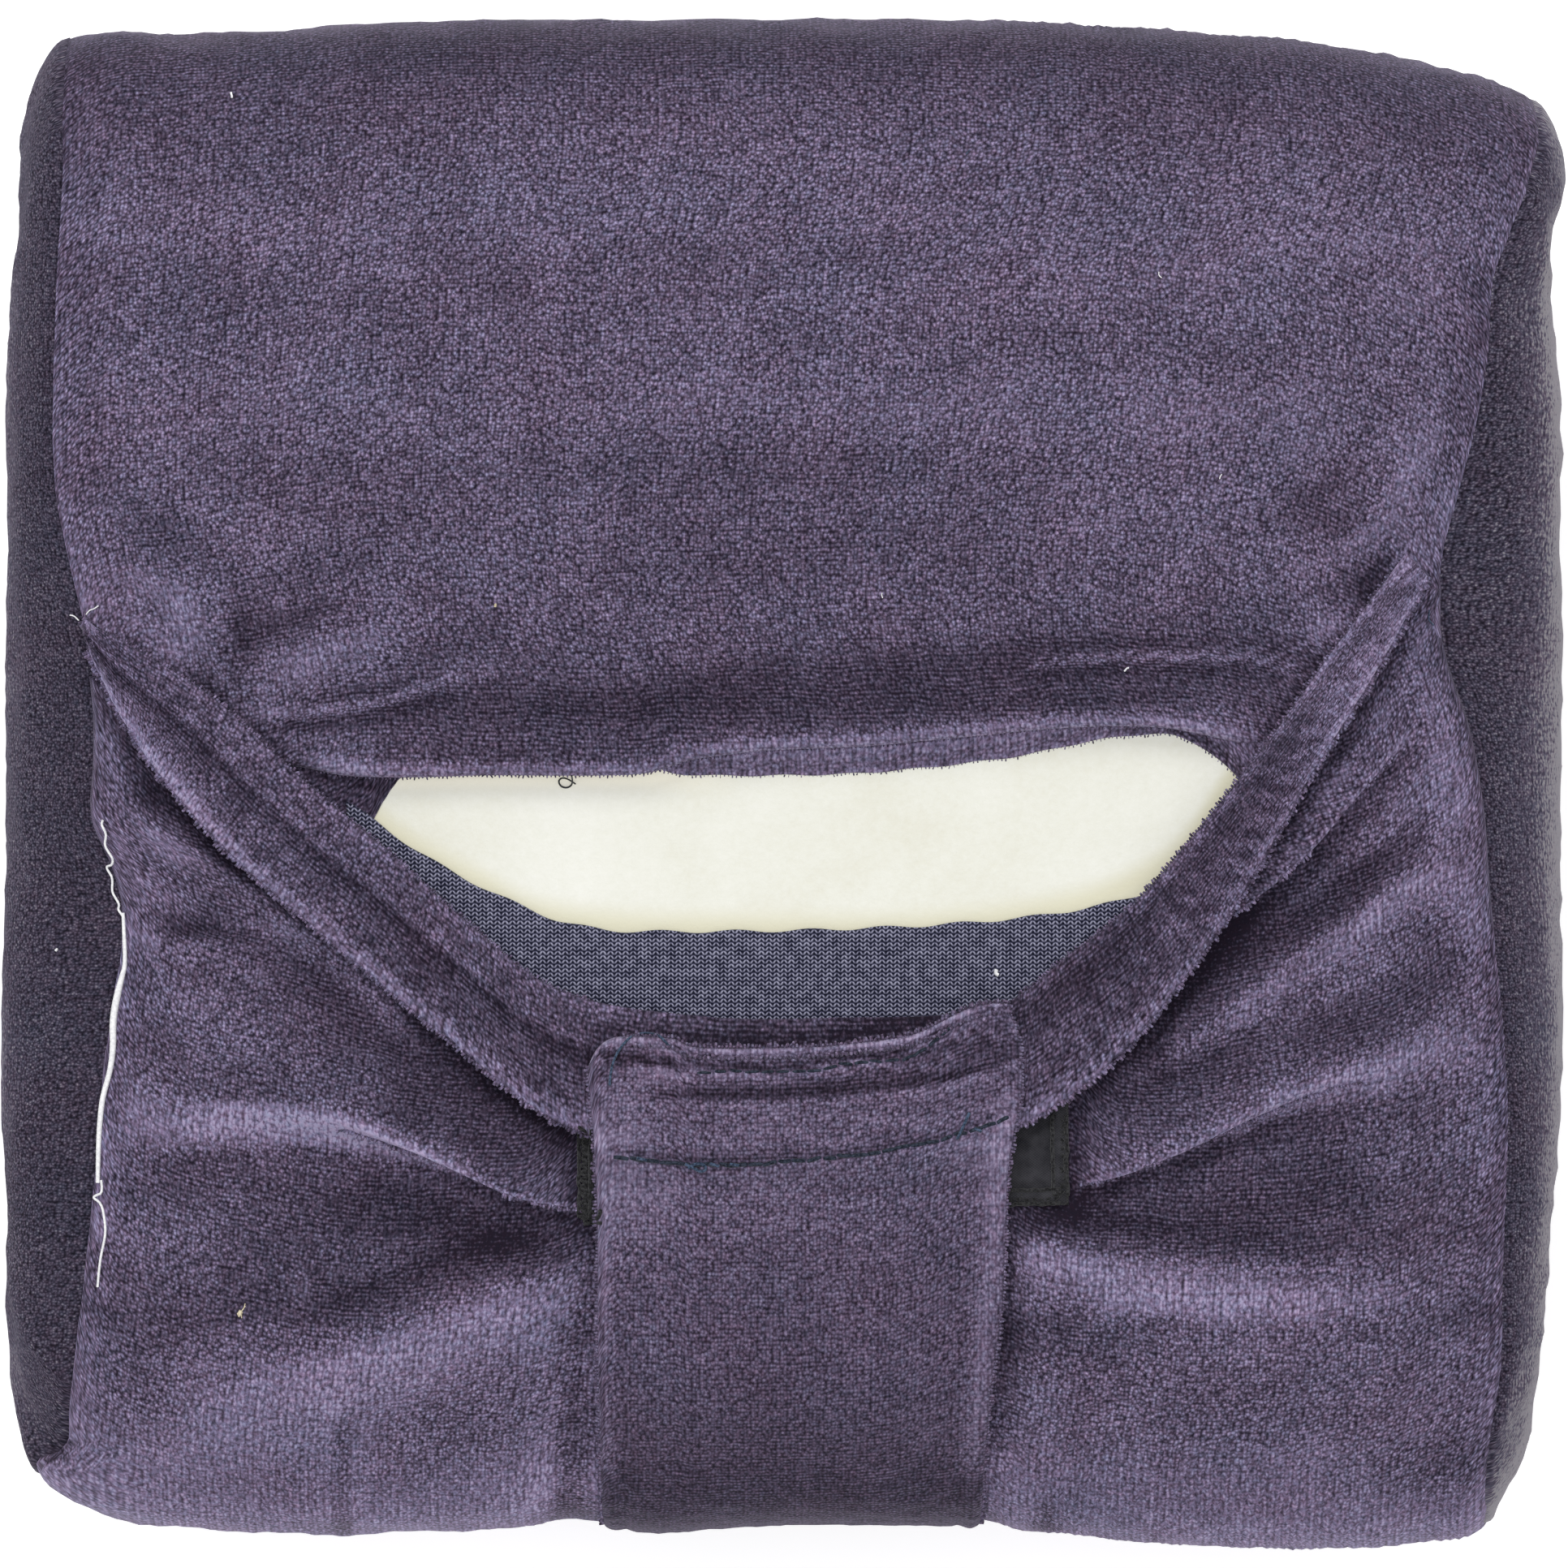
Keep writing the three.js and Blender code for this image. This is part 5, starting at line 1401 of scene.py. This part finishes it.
def strapTurns(across, topY):  # the turn of each row and column, and how far the rows are from the top edge
    pathTurn = mix(turnAtY(across, topY), strap["lastTurn"], np.linspace(0, 1, strap["samples"])[:, None])
    sectionY, sectionZ = sectionAt(np.broadcast_to(across, pathTurn.shape), *squareLoop(pathTurn))
    step = np.hypot(np.diff(sectionY, axis=0), np.diff(sectionZ, axis=0))
    length = np.vstack([np.zeros(len(across)), np.cumsum(step, axis=0)])
    shortest = length[-1].min()
    # more rows near the top end
    fine = np.linspace(0, strap["fineLength"], strap["fineRows"])
    coarse = np.linspace(strap["fineLength"], shortest, strap["rows"] - strap["fineRows"] + 1)[1:]
    wanted = np.concatenate([fine, coarse])
    turns = [np.interp(wanted * length[-1, column] / shortest, length[:, column], pathTurn[:, column])
             for column in range(len(across))]
    return np.stack(turns, axis=-1), wanted


def makeStrap():
    thickness = strap["thickness"]
    turn = np.linspace(-1, 7, 2 * strap["columns"] + 1)  # top face from right to left, then the underside
    v, w = squareLoop(turn)
    reach = rounding(v, w, strap["squareness"])
    shareAcross = 0.5 + 0.5 * v * reach
    topX = mix(strap["top"][0][0], strap["top"][-1][0], shareAcross)
    acrossTop = acrossAt(topX)
    turnRows, wanted = strapTurns(acrossTop, follow(strap["top"], topX))
    y, z = sectionAt(np.broadcast_to(acrossTop, turnRows.shape), *squareLoop(turnRows))
    onFront = ease(z, *strap["onFront"])
    leftX, rightX = follow(strap["left"], y), follow(strap["right"], y)
    x = mix(leftX, rightX, shareAcross)
    fromSide = np.minimum(shareAcross, 1 - shareAcross) * (rightX - leftX)
    fromTop = np.broadcast_to(wanted[:, None], x.shape)
    fromEnds = np.minimum(fromTop, wanted[-1] - fromTop)
    fromRound = 1 - np.clip(fromEnds / strap["endRound"], 0, 1)
    half = thickness / 2 * np.sqrt(np.clip(1 - fromRound ** 2, 0, 1))
    bend = strapRelief(x, y, fromSide) * onFront * np.clip(fromTop / strap["reliefFade"], 0, 1)
    uneven = strap["lumpHeight"] * lumps(x, fromTop, *strap["lumps"])
    bend += uneven * ease(fromEnds, 0, strap["reliefFade"])
    lift = strapUnderside(y) + thickness / 2 + half * (w * reach) + bend * (w > 0)
    places = pointOver(x, lambda across: turnRows, lift)
    inward = (gridNormals(places)[..., 2] * np.sign(w))[len(wanted) // 3].sum() < 0
    # painted sheen and shade from how the strap faces along its pile, with painted patches and lines of light
    # and shade on the front
    napShade = pileFacingShade(places, strap["pile"], strap["pileSheenStrength"], inward)
    napShade += (paintedPatchTone(strap["paintedPatches"], x, y) + shadeAlong(strap["lines"], x, y)) * onFront
    tufted = strap["topTone"] * lumps(x, fromTop, *strap["topLumps"])
    napShade += tufted * (1 - ease(fromTop, *strap["topFade"])) * onFront
    piece = clothGrid("strapCloth", places, np.stack([x, -fromTop], axis=-1), napShade)
    closeUp(piece, strap["weld"])
    finishPiece(piece, velourStrap, "velour", "strap")
    return places


strapPlaces = makeStrap()
print("strap made")


# black patch under the strap, with a crease at its lower right
patch = {"left": -30.1, "right": 42.1, "top": -44, "bottom": -63.4, "tilt": 0.03, "tiltFrom": 6, "lift": 3.2,
         "columns": 120, "rows": 40, "thickness": 0.5, "edgeRadius": 0.7,
         "ridge": 0.8, "ridgeWide": 1.1, "ridgeIn": 1.7, "groove": 0.3, "grooveWide": 0.7, "grooveIn": 1.3,
         "crease": [(35, -59.4), (38.5, -57.8), (39.2, -58.2)], "creaseDeep": 0.25, "creaseWide": 0.4,
         "creaseFrom": (34, 36), "creaseTo": (38.6, 39.4)}


def makePatch():
    left, right, top, bottom = (patch[edge] for edge in ("left", "right", "top", "bottom"))
    x, y = np.meshgrid(np.linspace(left, right, patch["columns"] + 1),
                       np.linspace(bottom, top, patch["rows"] + 1))
    fromEdge = np.minimum(np.minimum(x - left, right - x), y - bottom)
    ridge = patch["ridge"] * hill(fromEdge, patch["ridgeIn"], patch["ridgeWide"])
    groove = patch["groove"] * hill(fromEdge, patch["ridgeIn"] + patch["grooveIn"], patch["grooveWide"])
    crease = patch["creaseDeep"] * hill(y - follow(patch["crease"], x), 0, patch["creaseWide"])
    crease = crease * ease(x, *patch["creaseFrom"]) * (1 - ease(x, *patch["creaseTo"]))
    lift = patch["lift"] + ridge - groove + crease - seamRoll(fromEdge, patch["edgeRadius"])
    lean = patch["tilt"] * (x - patch["tiltFrom"]) * (top - y) / (top - bottom)
    piece = clothGrid("patchCloth", frontPoint(x, y + lean, lift), np.stack([x, y], axis=-1))
    addThickness(piece, patch["thickness"])
    finishPiece(piece, patchCloth, "patch_cloth", "patch")


makePatch()
print("patch made")


# small things lie where a line of sight from the camera meets the cloth
bpy.context.view_layer.update()
evaluated = bpy.context.evaluated_depsgraph_get()
covers = [BVHTree.FromObject(piece, evaluated) for piece in bpy.context.scene.collection.objects
          if piece.type == "MESH" and piece.name in shownPieces]
eye = Vector(inMetres((0, 0, photo["sharpHeight"] + photo["distance"])))


def seenPlace(x, y):  # the point that shows at x and y of the sharp plane, and the cloth's normal there
    sight = (Vector(inMetres((x, y, photo["sharpHeight"]))) - eye).normalized()
    hits = [tree.ray_cast(eye, sight) for tree in covers]
    place, normal, _, _ = min((hit for hit in hits if hit[0]), key=lambda hit: hit[3])
    return place, normal if normal.z > 0 else -normal


threadRadius = 0.1
stitches = {"stray": 0.14, "rise": 0.15, "arch": 1.6}


def makeThreads(name, material, strands):  # each strand a list of (x, y, rise, radius)
    curve = bpy.data.curves.new(name, "CURVE")
    curve.dimensions = "3D"
    curve.bevel_depth = threadRadius / 1000
    curve.bevel_resolution = 1
    curve.resolution_u = 3
    curve.use_fill_caps = True
    for strand in strands:
        spline = curve.splines.new("NURBS")
        spline.points.add(len(strand) - 1)
        spline.use_endpoint_u = True
        spline.order_u = 3
        for point, (x, y, rise, radius) in zip(spline.points, strand):
            place, normal = seenPlace(x, y)
            point.co = (*(place + normal * rise / 1000), 1)
            point.radius = radius / threadRadius
    finishPiece(addObject(name, curve), material, None)


def stitchRow(line, pitch, length, radius):  # running stitches that dip in at both ends
    strands = []
    marks = spread(line, pitch)
    rise = stitches["rise"]
    strays = np.random.default_rng(len(marks)).normal(0, stitches["stray"], (len(marks), 4))
    for (x, y), (nextX, nextY), stray in zip(marks[:-1], marks[1:], strays):
        run = math.hypot(nextX - x, nextY - y)
        stepX, stepY = (nextX - x) / run * length / 2, (nextY - y) / run * length / 2
        middleX, middleY = (x + nextX) / 2, (y + nextY) / 2
        strands.append([(middleX - stepX + stray[0], middleY - stepY + stray[1], -rise, radius),
                        (middleX, middleY, rise * stitches["arch"], radius),
                        (middleX + stepX + stray[2], middleY + stepY + stray[3], -rise, radius)])
    return strands


# sewing thread that came loose along the left seam
seamThread = {
    "thin": [[(-100.9, -5.3), (-101.3, -5.8), (-100.3, -7.3), (-100.7, -8.8), (-100, -10.1), (-99.4, -11),
              (-99.5, -11.9), (-100.6, -12.1), (-100.4, -12.7), (-99.6, -13.9), (-99.8, -15.7),
              (-99.4, -16.6), (-98.3, -17.8), (-98.9, -18.5), (-98.2, -19), (-97.9, -19.6)],
             [(-101.3, -58.6), (-101, -60.5), (-102, -60.8), (-102.5, -61.2), (-101.3, -61.9),
              (-100.8, -64.1), (-100.6, -66.5), (-101.3, -69.5), (-101.6, -71.9), (-101.8, -74.3)]],
    "thick": [(-97.9, -19, 0.2), (-97.8, -23.2, 0.26), (-97.7, -26.9, 0.28), (-98.2, -28.4, 0.34),
              (-98.8, -30.7, 0.44), (-99.4, -33.6, 0.46), (-99.6, -36.1, 0.44), (-99.5, -38.5, 0.4),
              (-99.8, -41.5, 0.36), (-100.3, -43.6, 0.34), (-101, -46.4, 0.36), (-101.4, -50, 0.34),
              (-101.6, -54, 0.31), (-101.8, -59, 0.26)],
    "thinRadius": 0.19, "thickShare": 1.2, "rise": 0.5, "aside": 0.5,
}
aside, rise = seamThread["aside"], seamThread["rise"]
strands = [[(x + aside, y, rise, seamThread["thinRadius"]) for x, y in line] for line in seamThread["thin"]]
share = seamThread["thickShare"]
strands.append([(x + aside, y, rise, radius * share) for x, y, radius in seamThread["thick"]])
makeThreads("seamThread", threads["white"], strands)

# the strap's sewing, with teal thread ends and a loop at its corner
strapSewing = {
    "upper": [(-13, -42.6), (-4.3, -42.6), (5.3, -42.5), (8.5, -41.4), (14, -41), (18.7, -40.6),
              (21, -38.8), (25.1, -36)],
    "lower": [(-25.1, -55.2), (-22.4, -55.4), (-14.4, -56.2), (-6.7, -56.4), (-1.9, -56), (7.2, -55.3),
              (12.7, -54.7), (18.2, -53.6), (22.1, -53.1), (25.1, -52), (28.1, -51.2), (30.6, -50.3),
              (33.4, -49.2)],
    "teal": [[(-21.8, -55.3), (-20.3, -55.6)],
             [(-14.6, -56), (-13.6, -56.6), (-12.2, -57.3), (-11.4, -56.8), (-12, -56.1), (-13.4, -56.1),
              (-14.2, -56.8)],
             [(-11, -55.9), (-9.6, -56.5)], [(-8, -56.2), (-6.6, -56.4)], [(28.2, -50.9), (29.2, -51.4)],
             [(27.4, -48.6), (26.9, -49.7), (26.2, -51.2), (25.6, -52.6)]],
    "loop": [(-25.9, -44.6), (-25.6, -42.6), (-25.1, -40.6), (-24.5, -39.4), (-23.6, -38.4), (-22.6, -37.6),
             (-21.5, -37.1), (-20, -36.9), (-18.6, -37.4), (-17.8, -37.9), (-17, -38.8)],
    "endSize": (0.3, 0.24), "loopSize": (0.35, 0.2),  # rise and radius
}
upperStitches = stitchRow(strapSewing["upper"], pitch=2.3, length=1.8, radius=0.27)
lowerStitches = stitchRow(strapSewing["lower"], pitch=2.2, length=1.9, radius=0.32)
makeThreads("strapSewing", threads["purple"], upperStitches + lowerStitches)
tealEnds = [[(x, y, *strapSewing["endSize"]) for x, y in line] for line in strapSewing["teal"]]
tealLoop = [(x, y, *strapSewing["loopSize"]) for x, y in strapSewing["loop"]]
makeThreads("tealThreads", threads["teal"], tealEnds + [tealLoop])

# a small black loop of thread on the foam: x, y, rise, radius
foamLoop = [
    (-31.4, 1.3, 0.1, 0.13), (-31.1, 0.2, 0.3, 0.13), (-31.9, -0.6, 0.3, 0.14), (-33, -0.4, 0.3, 0.14),
    (-33.4, 0.5, 0.3, 0.13), (-32.8, 1, 0.3, 0.13), (-31.7, 0.7, 0.4, 0.12), (-30.8, 0, 0.3, 0.12),
]
makeThreads("foamLoop", threads["black"], [foamLoop])

# overlocked border of the patch: thread that crosses from side to side, between two lines of thread
overlock = {"pitch": 0.55, "reach": 0.9, "radius": 0.3, "stray": 0.08, "rise": 0.2,
            "borders": [[(-29.4, -51), (-29.5, -64)], [(-29.5, -64), (-27, -64)],
                        [(40.7, -49), (40.8, -60.9)], [(40.8, -60.9), (33, -61.2)]]}
loops = []
for border in overlock["borders"]:
    marks = spread(border, overlock["pitch"])
    along = (marks[-1] - marks[0]) / np.linalg.norm(marks[-1] - marks[0])
    aside = np.array([-along[1], along[0]]) * overlock["reach"]
    shift = np.random.default_rng(len(marks)).normal(0, overlock["stray"], (3, len(marks), 2))
    crossing = marks + aside * np.where(np.arange(len(marks)) % 2, 1, -1)[:, None] + shift[0]
    for line, radius in ((crossing, 1), (marks + aside + shift[1], 0.9), (marks - aside + shift[2], 0.9)):
        loops.append([(x, y, overlock["rise"], overlock["radius"] * radius) for x, y in line])
makeThreads("overlock", threads["overlock"], loops)

# lint: x, y, length, radius, kind
lint = [
    (-81.7, 102.1, 0.8, 0.16, "white"), (27.5, 93.7, 0.9, 0.1, "teal"), (55.4, 75.7, 1.1, 0.08, "white"),
    (64.4, 45.1, 0.8, 0.08, "white"), (-42.7, 26.2, 0.5, 0.2, "beige"), (14.5, 28.3, 0.8, 0.08, "white"),
    (50.3, 16.6, 0.9, 0.13, "white"), (-107.3, -24.5, 0.4, 0.2, "white"), (31.7, -28.3, 1.1, 0.3, "white"),
    (95.9, 23.5, 2.6, 0.12, "teal"), (-80.2, -77.9, 0.8, 0.35, "beige"), (-80.6, -78.8, 2.4, 0.08, "beige"),
    (-79.6, -77.2, 2, 0.07, "beige"), (-103.1, 25.1, 2.4, 0.1, "white"), (-104.2, 24.2, 1.6, 0.1, "white"),
]
lintForm = {"points": 4, "rise": 0.25, "bend": 0.9}
chance = np.random.default_rng(7)
for kind in ("white", "teal", "beige"):
    curls = []
    for x, y, length, radius, which in lint:
        if which == kind:
            heading = chance.uniform(0, 2 * math.pi)
            curl = []
            for _ in range(lintForm["points"]):
                curl.append((x, y, lintForm["rise"], radius))
                heading += chance.uniform(-lintForm["bend"], lintForm["bend"])
                x += math.cos(heading) * length / (lintForm["points"] - 1)
                y += math.sin(heading) * length / (lintForm["points"] - 1)
            curls.append(curl)
    makeThreads(kind + "Lint", threads[kind], curls)
print("threads and lint made")


# fringes: the pile's tufts stand out where the cloth folds over
fringe = {"pitch": 0.5, "length": 1.2, "root": 0.45, "tip": 0.28, "sides": 5, "batch": 50, "sunk": 0.3,
          "stray": 0.25, "lengths": (0.4, 1.4), "toneStray": 0.12,
          "lipsOver": 80, "strapOver": 60, "hemRows": 24}


def makeFringe(name, material, roots, headings, tone, size):
    tufted = bmesh.new()
    tufted.loops.layers.uv.new("cloth")
    randomness = np.random.default_rng(len(roots))
    for start in range(0, len(roots), fringe["batch"]):
        part = bmesh.new()
        here = slice(start, start + fringe["batch"])
        for root, heading in zip(roots[here], headings[here]):
            heading = Vector(heading + randomness.normal(0, fringe["stray"], 3)).normalized()
            length = fringe["length"] * size * randomness.uniform(*fringe["lengths"])
            middle = Vector(inMetres(root)) + heading * length * (fringe["sunk"] / 1000)
            place = Matrix.Translation(middle) @ heading.to_track_quat("Z", "Y").to_matrix().to_4x4()
            bmesh.ops.create_cone(part, cap_ends=True, segments=fringe["sides"], matrix=place,
                                  radius1=fringe["root"] * size / 1000, radius2=fringe["tip"] * size / 1000,
                                  depth=length / 1000)
        batch = meshOf("batch", part)
        tufted.from_mesh(batch)
        bpy.data.meshes.remove(batch)
    mesh = meshOf(name, tufted)
    setFlat(mesh, np.array([vertex.co[:2] for vertex in mesh.vertices]))
    shade = tone + randomness.normal(0, fringe["toneStray"], len(roots))
    setTone(mesh, "napShade", np.repeat(shade, fringe["sides"] * 2))
    smooth(mesh)
    finishPiece(addObject(name, mesh), material, "velour")


def alongEdge(points, normals, pitch):  # roots and headings at even steps along an edge
    length = runLength(points)
    found = sampled(np.concatenate([points, normals], axis=1), length, np.arange(0, length[-1], pitch))
    return found[:, :3], found[:, 3:]


def edgeFringe(name, material, points, heading, pitch, tone, size):  # tufts that all lean one way
    roots, headings = alongEdge(points, np.tile(heading, (len(points), 1)), pitch)
    makeFringe(name, material, roots, headings, tone, size)


def lipOf(line, reach):  # the strip's edge where it turns over, near a line
    normals = gridNormals(stripPlaces)
    middle = len(stripPlaces) // 2
    points, headings = [], []
    for column in range(stripPlaces.shape[1]):
        x, y, z = stripPlaces[:, column].T
        if line[0][0] < x[middle] < line[-1][0]:
            near = (np.abs(y - follow(line, x)) < reach) & (z > fringe["lipsOver"])
            near[:middle] = False
            if near.any():
                row = np.flatnonzero(near)[np.argmin(normals[near, column, 1])]
                points.append(stripPlaces[row, column])
                headings.append(normals[row, column])
    return np.array(points), np.array(headings)


lips = {
    "ridgeFringeLeft": {"line": [(-72, -49), (-65, -51), (-57.5, -54), (-47, -58.6), (-38, -62.4),
                                 (-30, -64.8)],
                        "reach": 2.5},
    "ridgeFringeRight": {"line": [(43, -60), (46.5, -59), (56, -55.4), (64, -52), (73, -47.8), (84, -43)],
                         "reach": 2.5},
    "foldFringeRight": {"line": [(64, -21), (69.5, -17), (77, -10.6), (83, -3.9), (89, 2.6), (93, 6.5)],
                        "reach": 2.2},
}
# the lips' tufts are drawn light: painted sheen of pile seen from its side
for name, lip in lips.items():
    roots, headings = alongEdge(*lipOf(lip["line"], lip["reach"]), fringe["pitch"])
    makeFringe(name, velour, roots, headings, tone=0.65, size=0.65)

# the band's outermost row at its fold, and at its mouth side
bandNormals = gridNormals(bandPlaces) * (-1 if turnedInward(bandPlaces) else 1)
bandMiddles = bandPlaces.mean(axis=0)
towardFold = bandPlaces[len(bandPlaces) // 2] - bandMiddles
underStrap = (-28, 34.5)
for name, heading, tone, size in (("bandFringe", 1, 0.35, 0.75), ("bandMouthFringe", -1, 0.15, 0.55)):
    row = (((bandPlaces - bandMiddles) * towardFold).sum(axis=2) * heading).sum(axis=1).argmax()
    roots, headings = alongEdge(bandPlaces[row], bandNormals[row], fringe["pitch"])
    clear = (roots[:, 0] < underStrap[0]) | (roots[:, 0] > underStrap[1])
    makeFringe(name, velour, roots[clear], headings[clear], tone, size)

hemRows = stripPlaces[:fringe["hemRows"], 2:-2]
hemEdge = hemRows[hemRows[..., 1].argmin(axis=0), np.arange(hemRows.shape[1])]
edgeFringe("hemFringe", velour, hemEdge, (0, -0.8, 0.3), pitch=0.6, tone=0.2, size=0.35)
edgeFringe("underFringe", velour, underLayers["right"]["rim"], (0, -0.9, 0.3), pitch=0.6, tone=0.3, size=0.35)
topEdge = strapPlaces[0, :strap["columns"] + 1]
topFace = strapPlaces[3, 2:strap["columns"] - 1]
edgeFringe("strapFringe", velourStrap, topEdge, (0, 0.9, 0.5), pitch=0.55, tone=0.05, size=0.7)
edgeFringe("strapLipTufts", velourStrap, topFace, (0, 0.4, 0.9), pitch=0.7, tone=0.35, size=0.8)
onFront = strapPlaces[strapPlaces[..., 2].mean(axis=1) > fringe["strapOver"]]
for name, side in (("strapLeftFringe", -1), ("strapRightFringe", 1)):
    outermost = onFront[np.arange(len(onFront)), (side * onFront[..., 0]).argmax(axis=1)]
    edgeFringe(name, velourStrap, outermost, (side * 0.9, 0, 0.4), pitch=0.5, tone=0.3, size=0.65)
print("fringes made")
